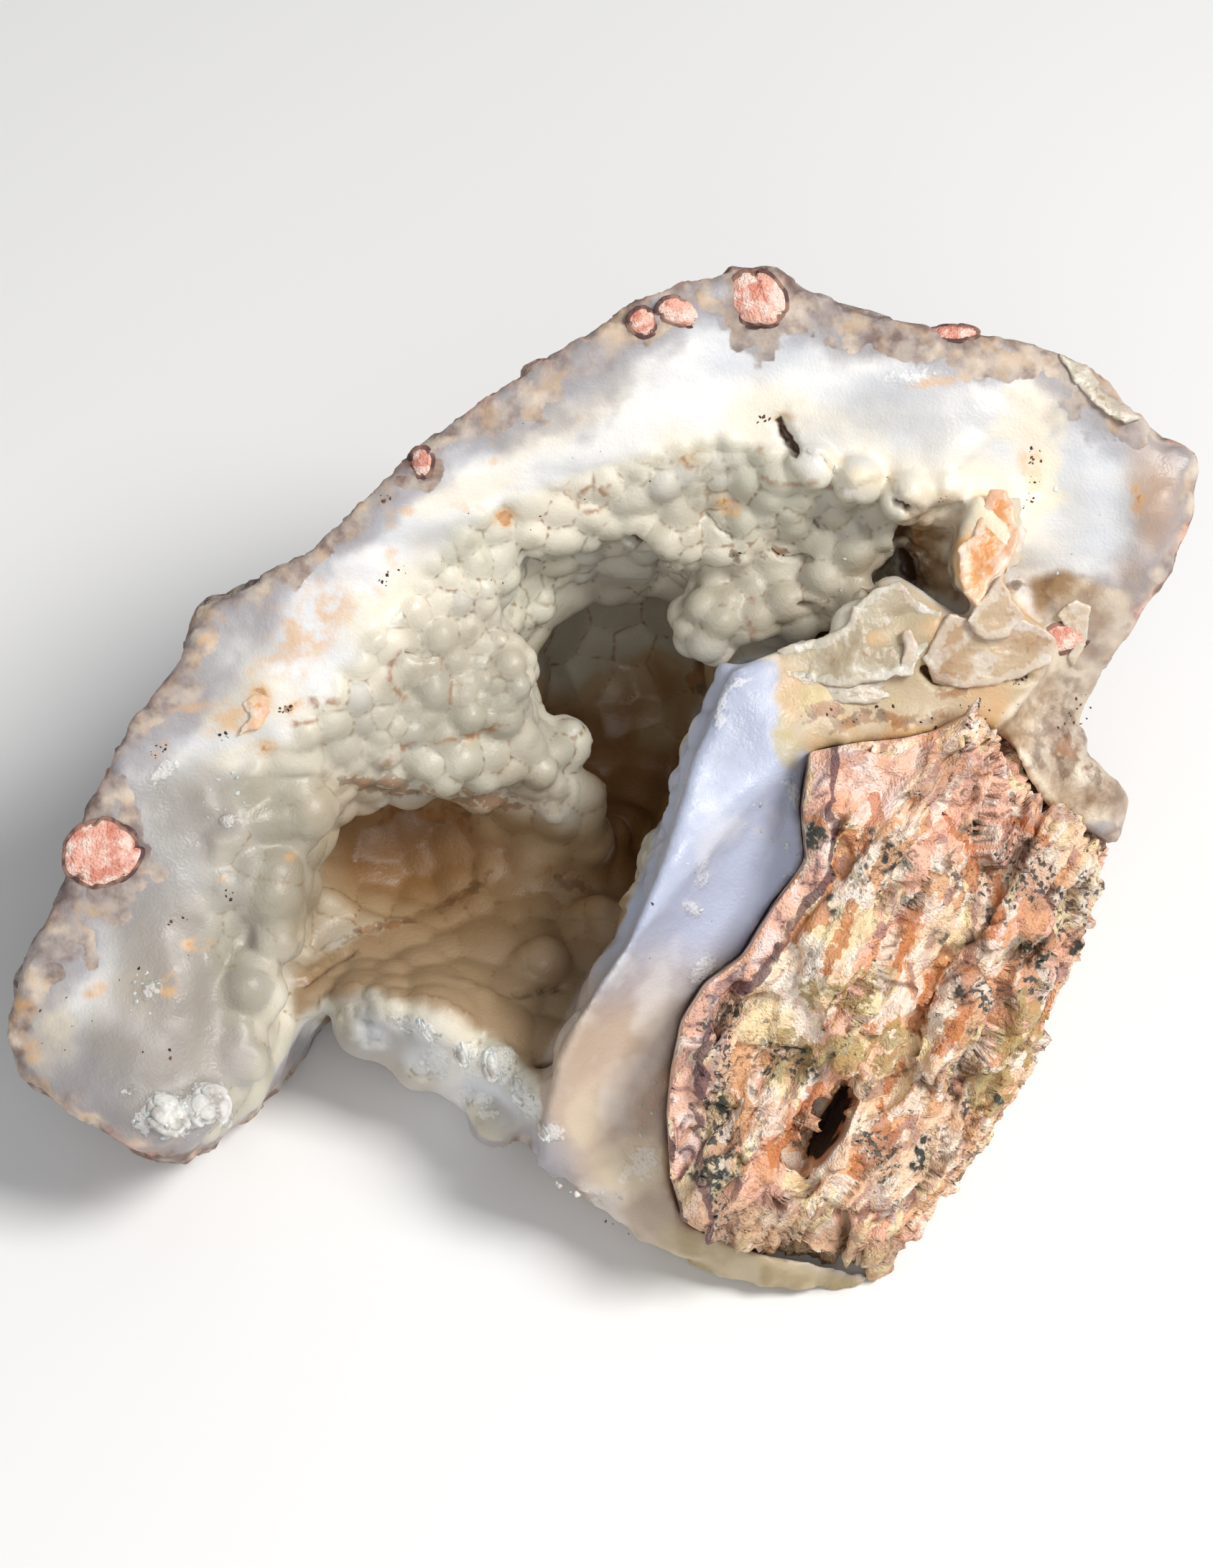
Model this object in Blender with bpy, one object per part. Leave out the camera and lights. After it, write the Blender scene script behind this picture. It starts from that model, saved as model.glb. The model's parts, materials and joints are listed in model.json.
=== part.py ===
"""Raw chalcedony: a broken piece of a geode, with a piece of its host rock.

A thick arched wall of chalcedony, broken open, holds a hollow lined with grape-like domes. A ledge
crosses the foot of the hollow, an upright slab of wall closes it on the right, and a chunk of
platy rhyolite is grown onto the slab's outer side.

Everything is first modelled in the face frame, in millimetres: u runs right along the broken face,
v runs up it and w points out of it, so w = 0 is the plane of the arched rim. The stone is then
leaned back, set on its flat underside and scaled to metres.
"""

import math

import bmesh
import bpy
import numpy as np
from mathutils import Matrix, Vector, noise
from mathutils.bvhtree import BVHTree

MM = 0.001
SEED = 4717

# The whole stone, in the face frame.
LEAN_DEG = 40.0             # the broken face leans back by this much
BASE_DEPTH = 39.8           # from the face frame's origin down to the flat underside
FOOTPRINT_SHIFT = -8.46     # brings the middle of the footprint to the row's origin, along Y
STONE_DEPTH = 54.0          # from the rim plane to the back of the dome
BACK_POWER = 2.4            # 2 is a round back, higher is boxier
BACK_CENTRE = (2.0, -6.0)
BLOCK_TOP = 16.0            # the block starts this far in front of the rim plane
EDGE_ROUND = 3.0            # width of the rounding along the stone's outer edge
EDGE_DROP = 2.0             # how far the outer edge lies behind the rim's crest
BACK_LUMPS = 1.6            # height of the lumps on the outside of the stone
BACK_LUMP_SIZE = 11.0
LUMPS_START = -5.0          # the lumps fade in behind this depth
LUMPS_FADE = 8.0
LUMPS_STEEPEST = 0.35       # no lumps where the surface faces the viewer more than this
LUMPS_LEVEL = 0.25          # taken off the noise, so that the lumps rise and sink alike
LUMPS_LIMIT = 0.6

# Working resolution.
VOXEL = 0.8
CHALCEDONY_TRIANGLES = 8400
ROCK_BLOCK_TRIANGLES = 5400   # of the whole block that the host rock is cut from
NODE_GAP = 0.3
SHARP_EDGE = math.radians(50.0)

# The outer edge of the stone, clockwise from the top of the arch.
ARCH_EDGE = [
    (2.5, 48.4), (-3.2, 44.5), (-9.9, 40.1), (-17.9, 34.5), (-23.4, 29.9), (-30.0, 23.8),
    (-35.4, 20.2), (-41.1, 17.5), (-42.7, 12.5), (-47.9, 6.6), (-51.1, -0.9), (-54.5, -10.7),
    (-58.9, -19.3), (-60.0, -25.0), (-58.6, -29.8),
]
FOOT_EDGE = [
    (-55.7, -31.1), (-47.1, -36.8), (-42.1, -38.9), (-38.2, -35.7), (-34.6, -30.7), (-31.0, -24.0),
]
TONGUE_EDGE = [
    (-28.6, -24.8), (-26.8, -28.6), (-22.5, -30.7), (-16.1, -33.0), (-11.4, -36.9), (-5.9, -40.0),
]
BASE_EDGE = [(4.3, -46.6), (12.0, -50.4), (20.7, -53.2), (26.2, -51.4), (31.8, -47.2)]
RIGHT_EDGE = [
    (38.0, -38.8), (43.4, -30.0), (48.8, -16.8), (52.2, -10.2), (54.0, -0.7), (49.4, 2.5),
    (49.6, 7.5), (53.6, 15.0), (58.4, 23.2), (59.9, 28.9), (58.2, 32.7), (53.9, 37.4),
]
TOP_EDGE = [
    (47.9, 42.9), (42.5, 44.6), (37.1, 45.0), (30.4, 46.1), (24.3, 47.5), (16.8, 51.4),
    (10.0, 51.1),
]
OUTLINE = ARCH_EDGE + FOOT_EDGE + TONGUE_EDGE + BASE_EDGE + RIGHT_EDGE + TOP_EDGE

# Spots (u, v, w) that the broken face passes through, by region.
RIM_SPOTS = [
    (-56, -24, 2), (-50, -12, 1), (-45, 2, 0), (-36, 15, 0), (-26, 22, 0), (-16, 31, 0),
    (-6, 38, 0), (4, 43, 0), (14, 45, -1), (26, 41, -1), (38, 39, -2), (48, 35, -3), (55, 27, -4),
]
FOOT_SPOTS = [
    (-46, -20, 2), (-44, -34, 3), (-52, -28, 3), (-39, -28, 0), (-40, -20, 0), (-36, -28, -3),
    (-33.5, -26, -13), (-36.5, -33, -8),
]
LIP_SPOTS = [
    (-42, -12, 0), (-40, -3, -1), (-33, 4, -1), (-28, 10, -1), (-22, 16, -2), (-16, 24, -3),
    (-8, 29, -4), (0, 31, -4), (8, 34, -3), (17, 34, -3), (24, 33, -3), (32, 30, -3), (38, 31, -3),
]
SHELF_SPOTS = [
    (-37, -10, -3), (-33, -10, -9), (-30, 1, -5), (-26, 3, -5), (-24, 1.5, -8), (-22, 6, -6),
    (-18, 10, -7), (-14, 12, -8), (-11, 11, -10), (-9, 8, -12), (-14, 5, -10), (-18, 2.5, -9),
    (-10, 3, -13), (-6.5, 3, -16), (-4, 1, -19), (-2, -2, -22), (0, -4, -25), (-20, 17, -4),
    (-15, 20, -6), (-13, 23, -7), (-12, 17, -10),
]
ARCH_SPOTS = [
    (-10, 26, -6), (-6, 25.5, -9), (0, 26, -10), (5, 28, -8), (8, 26, -10), (12, 21, -13),
    (17, 22, -12), (11, 26, -9), (14, 29, -7), (18, 27, -8), (22, 27, -7), (21, 19, -14),
    (24, 22, -13), (27, 26, -9), (28, 29, -6),
]
RIGHT_SPOTS = [
    (30, 24, -14), (32, 24, -12), (33, 20, -14), (31, 20, -18), (34.5, 28, -5), (26, 19, -18),
    (23, 15, -18), (40, 25, -3), (44, 29, -4), (44, 20, -7), (41, 19, -9), (52, 16, -7),
    (46, 14, -7), (43, 9, -8), (48, 7, -9), (44, 3, -7), (50, -2, -9), (28, 12, -4),
]
CAVE_SPOTS = [
    (-8, 22, -16), (-8, 17, -19), (-4, 21, -20), (0, 21, -22), (3, 21, -24), (-3, 16, -28),
    (1, 17, -31), (2, 10, -45), (5, 3, -42), (3, -2, -38), (-5, 11, -34), (-2, 4, -34),
    (7, 10, -42), (6, 16, -36), (10, 12, -34), (12, 4, -40), (9, -6, -36), (2, -8, -32),
    (-24, -4, -19), (-20, -4, -21), (-15, -4, -22), (-10, -4, -24), (-24, -10, -22),
    (-19, -10, -24), (-14, -7, -26), (-28, -8, -19), (-27, -15, -21), (-31, -14, -20),
    (-31, -18, -20),
]
LEDGE_SPOTS = [
    (-25, -16.5, -20), (-20, -15, -22), (-15, -11.5, -24), (-9, -8.5, -26), (-3, -10.5, -27),
    (2, -13, -26), (-22, -18, -16), (-15, -18, -18), (-8, -16, -20), (-2, -17, -22),
    (-10, -22, -14), (-5, -24, -15), (-29, -21, -14), (-24, -21, -8), (-19, -21.5, -6.5),
    (-14.5, -24.8, -5.5), (-9, -27.5, -5.5), (-6, -31, -5.5), (-25, -26, -11), (-18, -28.5, -10),
    (-12, -31, -8), (-8, -34, -7), (-11, -36, -12), (0, -26, -16),
]
BURIED_SPOTS = [
    (24, -2, 3), (14, -24, 3), (12, -38, 1), (32, -2, 1), (42, -6, -5), (49, -12, -9),
    (40, -30, -11), (28, -46, -6), (18, -48, -3), (26, -22, 1), (6, -44, -1), (20, -52, -7),
    (12, -49, -5),
]
FACE_SPOTS = (
    RIM_SPOTS + FOOT_SPOTS + LIP_SPOTS + SHELF_SPOTS + ARCH_SPOTS + RIGHT_SPOTS + CAVE_SPOTS
    + LEDGE_SPOTS + BURIED_SPOTS
)
FACE_SOFTNESS = 2.0         # how gently the face bends at a spot
FACE_GRID = 1.4
FACE_REACH = (66.0, 58.0)   # half-sizes of the sheet that the broken face is made on
FRONT_ROOM = 30.0           # how far the space in front reaches past the block

# Hollows that reach in behind the lips: centre, then half-sizes.
CAVES = [
    ((2.0, 10.0, -32.0), (12.0, 15.0, 13.0)),
    ((-21.0, -7.0, -22.0), (11.0, 7.5, 7.0)),
    ((30.0, 20.0, -14.0), (3.0, 5.0, 7.0)),
]

# Large lobes of the lining: centre, then radius.
WALL_LOBES = [
    ((-31.5, -2.5, -7.0), 3.9), ((-34.8, -10.0, -6.8), 4.6), ((-33.4, -14.5, -6.0), 2.4),
    ((-36.6, -20.8, -5.8), 3.4), ((-37.5, -26.5, -4.0), 3.2), ((-36.5, -4.0, -4.0), 2.6),
]
SHELF_LOBES = [
    ((-14.6, 21.3, -9.5), 5.0), ((-14.3, 18.2, -7.5), 2.2), ((-12.2, 16.0, -9.5), 1.8),
    ((-10.4, 11.8, -10.5), 3.5), ((-10.4, 8.2, -11.5), 2.6), ((-18.0, 9.8, -8.0), 3.0),
    ((-14.2, 8.0, -9.5), 3.0), ((-17.8, 14.6, -6.5), 2.8), ((-22.5, 5.0, -8.0), 3.2),
    ((-26.0, 2.8, -8.5), 3.0), ((-17.0, 3.0, -11.0), 3.6), ((-12.3, 2.2, -13.5), 2.6),
    ((-7.8, 2.6, -16.5), 3.0), ((-4.6, 4.6, -20.0), 2.4), ((-5.6, -1.3, -20.0), 2.2),
    ((-2.6, -1.2, -23.5), 2.8), ((-2.0, -5.2, -26.5), 2.8),
]
ARCH_LOBES = [
    ((-7.8, 27.4, -8.0), 3.2), ((-3.6, 26.6, -9.5), 2.6), ((-1.4, 28.3, -7.5), 2.0),
    ((1.6, 26.9, -9.5), 2.4), ((7.4, 25.4, -10.5), 3.5), ((5.8, 30.8, -6.2), 1.9),
    ((13.2, 24.4, -10.0), 2.4), ((-4.0, 21.6, -22.0), 2.2), ((-0.1, 21.5, -24.0), 2.2),
    ((3.2, 21.6, -25.5), 2.2), ((-8.0, 19.2, -19.0), 2.2),
]
HANGING_LOBES = [
    ((11.5, 17.2, -13.5), 3.9), ((17.3, 18.6, -13.2), 3.5), ((21.6, 18.6, -13.8), 2.7),
    ((20.4, 15.8, -15.0), 1.9), ((23.3, 21.9, -11.8), 3.7), ((26.6, 25.6, -10.0), 3.6),
    ((16.7, 31.2, -5.0), 1.9), ((20.5, 31.4, -5.0), 2.0), ((18.2, 28.0, -7.2), 1.9),
    ((14.5, 27.8, -8.4), 2.0), ((24.4, 30.8, -5.6), 2.6), ((31.4, 28.8, -6.0), 2.9),
]
LEDGE_LOBES = [
    ((-30.6, -21.2, -15.5), 2.6), ((-24.2, -24.4, -12.6), 4.2), ((-19.0, -28.6, -13.4), 3.2),
    ((-11.0, -34.4, -12.6), 3.4), ((-7.0, -18.6, -18.5), 2.7), ((-0.6, -14.0, -24.0), 2.5),
    ((-8.4, -8.6, -27.0), 1.9), ((-14.0, -23.0, -12.0), 2.8),
]
RIGHT_LOBES = [
    ((55.0, 28.0, -6.0), 4.0), ((54.4, 22.8, -7.5), 3.6), ((57.0, 32.0, -6.5), 3.0),
    ((-43.5, -33.0, 1.6), 2.6), ((-40.0, -32.0, 0.4), 2.6), ((-42.0, -35.0, -0.6), 2.2),
]
LOBES = WALL_LOBES + SHELF_LOBES + ARCH_LOBES + HANGING_LOBES + LEDGE_LOBES + RIGHT_LOBES

# The grape-like domes: where they may grow, and how they are packed.
LINING_EDGE = [
    (-44, -32), (-43, -12), (-41, -3), (-34, 3), (-29, 10), (-22, 16), (-15, 26), (-6, 30),
    (3, 33), (11, 35), (20, 33), (28, 30), (34, 28), (34, 16), (17, 14), (12.5, 12), (10.5, 8),
    (8.5, 1.5), (7, -3.6), (5.2, -9), (2.2, -16), (-1, -21), (-2, -12), (-10, -9), (-18, -13),
    (-28, -18), (-31, -24), (-36, -33), (-40, -36),
]
DOME_RADIUS = (1.9, 2.9)
DOME_SPACING = 1.15         # in dome radii
DOME_SINK = 0.62            # how far a dome's centre lies below the wall, in radii
DOME_TRIES = 30000
DOME_AIM = ((-46.0, -38.0, -45.0), (36.0, 37.0, 0.0))
DOME_SHALLOWEST = -1.0
DOME_EYES = [(0.0, 0.0, 260.0), (-170.0, -30.0, 150.0), (120.0, 60.0, 200.0)]

# The slab: the broken wall on the right of the hollow, with a height at each corner.
SLAB_HOLLOW_SIDE = [
    (17.5, 13.6, 1), (12.1, 11.4, 3), (10.0, 6.5, 4), (8.0, 1.5, 6), (6.6, -3.6, 7),
    (4.8, -9.0, 8), (1.8, -16.0, 8), (-1.6, -21.0, 7), (-4.3, -25.4, 5), (-5.7, -30.0, 3),
    (-6.8, -35.0, 1), (-7.0, -38.5, -1),
]
SLAB_ROCK_SIDE = [
    (5.0, -45.0, -4), (14.0, -45.0, -2), (16.0, -32.0, 1), (18.0, -24.0, 3), (24.0, -17.0, 4),
    (28.0, -8.0, 4), (27.0, 1.0, 3), (23.0, 7.0, 1), (20.0, 11.0, 0),
]
SLAB_DEPTH = 46.0

# Broken crust plates at the inner right, each a free-hand outline with heights.
CRUST_FRONT = [
    (17.5, 5.0, 1), (17.5, 13.6, 1), (20.0, 14.3, 2), (22.9, 13.6, 1), (24.6, 17.6, 0),
    (27.5, 20.0, -1), (29.6, 20.2, -1), (31.8, 18.6, 0), (33.6, 16.4, 0), (36.4, 16.8, 1),
    (39.1, 20.4, 0), (41.8, 16.8, 0), (43.9, 16.1, -2), (45.0, 13.0, -3), (42.0, 8.0, -3),
    (38.0, 4.0, -3), (28.0, 3.0, -1),
]
CRUST_DEPTH = 12.0
FLAP = [
    (36.8, 29.3, 0), (41.0, 25.4, 1), (40.0, 21.8, 2), (37.4, 17.0, 2), (34.6, 20.7, 1),
    (35.0, 24.3, 0),
]
FLAP_DEPTH = 9.0

# The host rock: the line where it meets the slab, then round its free side.
ROCK_CONTACT = [
    (20.0, 3.4), (19.2, -2.5), (19.6, -7.5), (16.4, -12.0), (13.4, -17.0), (9.6, -19.8),
    (7.2, -23.6), (6.2, -28.6), (5.8, -33.0), (6.2, -39.3), (7.6, -43.8),
]
ROCK_FREE_SIDE = [
    (14.6, -46.8), (22.5, -47.8), (28.0, -48.6), (34.0, -52.0), (46.0, -40.0), (60.0, -20.0),
    (62.0, -7.0),
    (52.0, -5.7), (48.6, -4.3), (45.7, -2.5), (41.8, -0.8), (40.2, 2.0), (38.4, 5.8), (36.0, 7.2),
    (33.0, 5.6), (29.5, 4.8), (25.0, 4.4),
]
ROCK_FRONT = 18.0
ROCK_TURN = -2.0            # in front of this the contact runs straight back
ROCK_BACK = -34.0
ROCK_SLOPE = (17.0, -9.0)   # the contact runs this far right and down on its way to the back
ROCK_SPOTS = [
    (20, 0, 5), (19, -10, 6), (12, -24, 5), (9, -38, 3), (30, 2, 3), (40, -2, -1), (51, -8, -9),
    (47, -18, -10), (40, -32, -11), (30, -46, -8), (20, -47, -3), (30, -20, 1), (38, -12, 0),
    (26, -10, 5), (16, -36, 2), (28, -34, -3), (56, -2, -14),
]
PLATE_RUN = math.radians(62.0)      # the plates of the rock lie along this line
PLATE_COUNT = 75
PLATE_LENGTH = (6.0, 13.0)
PLATE_WIDTH = (2.8, 5.0)
PLATE_THICKNESS = 4.5
PLATE_RISE = (-0.35, 0.36)          # how far a plate's middle lies off the rock, in thicknesses
PLATE_SWAY = math.radians(14.0)
PLATE_TIP = math.radians(40.0)
PLATE_TIPS = (-0.3, 1.0)            # in PLATE_TIP
PLATE_PITCHES = (-0.4, 0.4)
PLATE_ROOM = ((4.0, -50.0), (58.0, 6.0))
ROCK_SLIT = [                       # a deep slit between two plates: centre, then half-sizes
    ((20.8, -35.6, 0.0), (1.9, 2.6, 8.0)), ((22.3, -33.2, 0.0), (2.1, 2.9, 9.0)),
    ((23.7, -30.8, 1.0), (1.7, 2.4, 7.0)),
]
ROCK_MIDDLE = (34.0, -22.0)
CUTTER_SIZE = 0.4

CHALCEDONY_LOOK = ((0.72, 0.72, 0.62), 0.42)
RHYOLITE_LOOK = ((0.80, 0.50, 0.36), 0.78)


def clear_scene():
    for old in list(bpy.data.objects):
        bpy.data.objects.remove(old)


def material(name, look):
    colour, roughness = look
    made = bpy.data.materials.new(name)
    made.use_nodes = True
    shader = made.node_tree.nodes["Principled BSDF"]
    shader.inputs["Base Color"].default_value = (*colour, 1.0)
    shader.inputs["Roughness"].default_value = roughness
    shader.inputs["Metallic"].default_value = 0.0
    return made


def mesh_object(name, points, faces):
    mesh = bpy.data.meshes.new(name)
    mesh.from_pydata([tuple(point) for point in points], [], faces)
    mesh.update()
    made = bpy.data.objects.new(name, mesh)
    bpy.context.scene.collection.objects.link(made)
    return made


def remove(*spent):
    for old in spent:
        bpy.data.objects.remove(old)


def loft(name, rings):
    """A closed solid through rings of equal length, with a flat cap at each end."""
    count = len(rings[0])
    points = [point for ring in rings for point in ring]
    faces = []
    for level in range(len(rings) - 1):
        for k in range(count):
            n = (k + 1) % count
            low, high = level * count, (level + 1) * count
            faces.append((low + k, low + n, high + n, high + k))
    faces.append(tuple(reversed(range(count))))
    faces.append(tuple(range((len(rings) - 1) * count, len(rings) * count)))
    made = mesh_object(name, points, faces)
    face_out(made)
    return made


def face_out(target):
    shape = bmesh.new()
    shape.from_mesh(target.data)
    bmesh.ops.recalc_face_normals(shape, faces=shape.faces)
    if shape.calc_volume(signed=True) < 0.0:
        bmesh.ops.reverse_faces(shape, faces=shape.faces)
    shape.to_mesh(target.data)
    shape.free()


def bake(target):
    """Turn the modifiers of an object into its mesh."""
    graph = bpy.context.evaluated_depsgraph_get()
    shaped = bpy.data.meshes.new_from_object(target.evaluated_get(graph))
    target.modifiers.clear()
    target.data = shaped


def combine(target, other, operation):
    cut = target.modifiers.new(operation, "BOOLEAN")
    cut.operation = operation
    cut.solver = "EXACT"
    cut.object = other
    bake(target)
    remove(other)


def join(target, others):
    shape = bmesh.new()
    shape.from_mesh(target.data)
    for other in others:
        shape.from_mesh(other.data)
    shape.to_mesh(target.data)
    shape.free()
    remove(*others)


def remesh(target, voxel):
    grid = target.modifiers.new("fuse", "REMESH")
    grid.mode = "VOXEL"
    grid.voxel_size = voxel
    bake(target)


def decimate(target, triangles):
    target.data.calc_loop_triangles()
    thin = target.modifiers.new("thin", "DECIMATE")
    thin.ratio = min(1.0, triangles / len(target.data.loop_triangles))
    thin.use_collapse_triangulate = True
    bake(target)


def ellipsoid(name, centre, radii, subdivisions=3):
    shape = bmesh.new()
    bmesh.ops.create_icosphere(shape, subdivisions=subdivisions, radius=1.0)
    bmesh.ops.scale(shape, vec=radii, verts=shape.verts)
    bmesh.ops.translate(shape, vec=centre, verts=shape.verts)
    mesh = bpy.data.meshes.new(name)
    shape.to_mesh(mesh)
    shape.free()
    made = bpy.data.objects.new(name, mesh)
    bpy.context.scene.collection.objects.link(made)
    return made


def surface_through(spots):
    """A smooth height function of (u, v) that passes through the given spots."""
    spots = np.array(spots, dtype=float)
    centre = spots[:, :2]

    def spread(at):
        square = ((at[:, None, :] - centre[None, :, :]) ** 2).sum(axis=2)
        return np.sqrt(square + FACE_SOFTNESS ** 2)

    count = len(spots)
    plane = np.column_stack([np.ones(count), centre])
    system = np.zeros((count + 3, count + 3))
    system[:count, :count] = spread(centre)
    system[:count, count:] = plane
    system[count:, :count] = plane.T
    weights = np.linalg.solve(system, np.concatenate([spots[:, 2], np.zeros(3)]))

    def height(at):
        at = np.atleast_2d(np.array(at, dtype=float))
        return spread(at) @ weights[:count] + weights[count] + at @ weights[count + 1:]

    return height


def edge_distance(at, edge):
    """How far each (u, v) lies from a closed outline."""
    start = np.array(edge, dtype=float)
    run = np.roll(start, -1, axis=0) - start
    offset = at[:, None, :] - start[None, :, :]
    along = np.clip((offset * run).sum(axis=2) / (run ** 2).sum(axis=1), 0.0, 1.0)
    gap = offset - along[:, :, None] * run
    return np.sqrt((gap ** 2).sum(axis=2)).min(axis=1)


def inside(at, edge):
    """Whether (u, v) lies inside a closed outline."""
    u, v = at
    crossed = False
    for k, (u1, v1) in enumerate(edge):
        u0, v0 = edge[k - 1]
        if (v0 > v) != (v1 > v) and u < u0 + (v - v0) * (u1 - u0) / (v1 - v0):
            crossed = not crossed
    return crossed


def space_in_front(name, height, edge_of_stone):
    """A solid that fills everything in front of a broken face."""
    u, v = (np.arange(-reach, reach + 0.1, FACE_GRID) for reach in FACE_REACH)
    grid_u, grid_v = np.meshgrid(u, v)
    at = np.column_stack([grid_u.ravel(), grid_v.ravel()])
    level = height(at)
    inward = np.clip(edge_distance(at, edge_of_stone) / EDGE_ROUND, 0.0, 1.0)
    level -= EDGE_DROP * (1.0 - np.sqrt(1.0 - (1.0 - inward) ** 2))
    low = np.column_stack([at, level])
    high = np.column_stack([at, np.full(len(at), BLOCK_TOP + FRONT_ROOM)])
    columns, rows = len(u), len(v)
    below = len(low)
    faces = []
    for row in range(rows - 1):
        for column in range(columns - 1):
            k = row * columns + column
            faces.append((k, k + columns, k + columns + 1, k + 1))
            faces.append(tuple(below + n for n in (k, k + 1, k + columns + 1, k + columns)))
    border = [column for column in range(columns)]
    border += [row * columns + columns - 1 for row in range(1, rows)]
    border += [(rows - 1) * columns + column for column in range(columns - 2, -1, -1)]
    border += [row * columns for row in range(rows - 2, 0, -1)]
    for k, here in enumerate(border):
        following = border[(k + 1) % len(border)]
        faces.append((here, following, below + following, below + here))
    made = mesh_object(name, np.vstack([low, high]), faces)
    face_out(made)
    return made


def stone_block(name):
    """The stone before it is broken open: its outline, with a domed and lumpy back."""
    depths = [BLOCK_TOP, 4.0, -4.0, -14.0, -24.0, -33.0, -41.0, -47.0, -51.0, -53.4]
    centre = np.array(BACK_CENTRE)
    edge = np.array(OUTLINE)
    rings = []
    for depth in depths:
        share = min(0.0, depth) / STONE_DEPTH
        size = (1.0 - abs(share) ** BACK_POWER) ** (1.0 / BACK_POWER)
        ring = centre + (edge - centre) * size
        rings.append([(u, v, depth) for u, v in ring])
    return loft(name, rings)


def lumpy(target):
    """Push the outside of the stone in and out behind its front edge."""
    target.data.update()
    normals = [vertex.normal.copy() for vertex in target.data.vertices]
    for vertex, normal in zip(target.data.vertices, normals):
        place = vertex.co
        share = min(1.0, max(0.0, (LUMPS_START - place.z) / LUMPS_FADE))
        if share and normal.z < LUMPS_STEEPEST:
            push = noise.fractal(place / BACK_LUMP_SIZE, 1.0, 2.0, 3) - LUMPS_LEVEL
            vertex.co = place + normal * (BACK_LUMPS * share * min(LUMPS_LIMIT, push))


def prism(name, corners, depth):
    top = [Vector(corner) for corner in corners]
    bottom = [corner - Vector((0.0, 0.0, depth)) for corner in top]
    return loft(name, [bottom, top])


def dome_centres(stone, rng):
    """Spots on the wall of the hollow, no two of them too close together."""
    tree = BVHTree.FromPolygons(
        [vertex.co for vertex in stone.data.vertices],
        [tuple(face.vertices) for face in stone.data.polygons],
    )
    chosen = []
    for attempt in range(DOME_TRIES):
        eye = Vector(DOME_EYES[attempt % len(DOME_EYES)])
        target = Vector(rng.uniform(*DOME_AIM))
        hit, normal, _, _ = tree.ray_cast(eye, (target - eye).normalized())
        if hit is None or not inside((hit.x, hit.y), LINING_EDGE) or hit.z > DOME_SHALLOWEST:
            continue
        radius = rng.uniform(*DOME_RADIUS)
        reach = DOME_SPACING * radius
        if all((hit - other).length > reach for other, _, _ in chosen):
            chosen.append((hit, normal, radius))
    return chosen


def lean_and_scale(target):
    lean = Matrix.Rotation(math.radians(LEAN_DEG), 4, "X")
    up = Matrix.Translation((0.0, FOOTPRINT_SHIFT * MM, BASE_DEPTH * MM))
    target.data.transform(up @ Matrix.Scale(MM, 4) @ lean)
    target.data.update()


def build_chalcedony():
    stone = stone_block("chalcedony")
    height = surface_through(FACE_SPOTS)
    combine(stone, space_in_front("front", height, OUTLINE), "DIFFERENCE")
    for number, (centre, radii) in enumerate(CAVES):
        combine(stone, ellipsoid(f"cave_{number}", centre, radii), "DIFFERENCE")
    combine(stone, prism("slab", SLAB_HOLLOW_SIDE + SLAB_ROCK_SIDE, SLAB_DEPTH), "UNION")
    added = [
        prism("crust", CRUST_FRONT, CRUST_DEPTH),
        prism("flap", FLAP, FLAP_DEPTH),
    ]
    added += [ellipsoid(f"lobe_{k}", centre, (size,) * 3) for k, (centre, size) in enumerate(LOBES)]
    join(stone, added)
    remesh(stone, VOXEL)
    lumpy(stone)
    rng = np.random.default_rng(SEED)
    domes = []
    for number, (place, normal, radius) in enumerate(dome_centres(stone, rng)):
        centre = place - normal * (DOME_SINK * radius)
        domes.append(ellipsoid(f"dome_{number}", centre, (radius,) * 3, 2))
    print("domes", len(domes))
    join(stone, domes)
    remesh(stone, VOXEL)
    return stone


def box(name, size, place):
    shape = bmesh.new()
    bmesh.ops.create_cube(shape, size=1.0)
    bmesh.ops.scale(shape, vec=size, verts=shape.verts)
    bmesh.ops.transform(shape, matrix=place, verts=shape.verts)
    mesh = bpy.data.meshes.new(name)
    shape.to_mesh(mesh)
    shape.free()
    made = bpy.data.objects.new(name, mesh)
    bpy.context.scene.collection.objects.link(made)
    return made


def rock_plates(height, rng):
    """Broken plates that lie along one line over the front of the rock."""
    edge = ROCK_CONTACT + ROCK_FREE_SIDE
    plates = []
    while len(plates) < PLATE_COUNT:
        u, v = rng.uniform(*PLATE_ROOM)
        if not (inside((u, v), edge) and inside((u, v), OUTLINE)):
            continue
        size = (rng.uniform(*PLATE_LENGTH), rng.uniform(*PLATE_WIDTH), PLATE_THICKNESS)
        turn = Matrix.Rotation(PLATE_RUN + rng.uniform(-PLATE_SWAY, PLATE_SWAY), 4, "Z")
        tip = Matrix.Rotation(rng.uniform(*PLATE_TIPS) * PLATE_TIP, 4, "X")
        pitch = Matrix.Rotation(rng.uniform(*PLATE_PITCHES) * PLATE_TIP, 4, "Y")
        level = float(height((u, v))[0]) + rng.uniform(*PLATE_RISE) * PLATE_THICKNESS
        place = Matrix.Translation((u, v, level))
        plates.append(box(f"plate_{len(plates)}", size, place @ turn @ tip @ pitch))
    return plates


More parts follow.
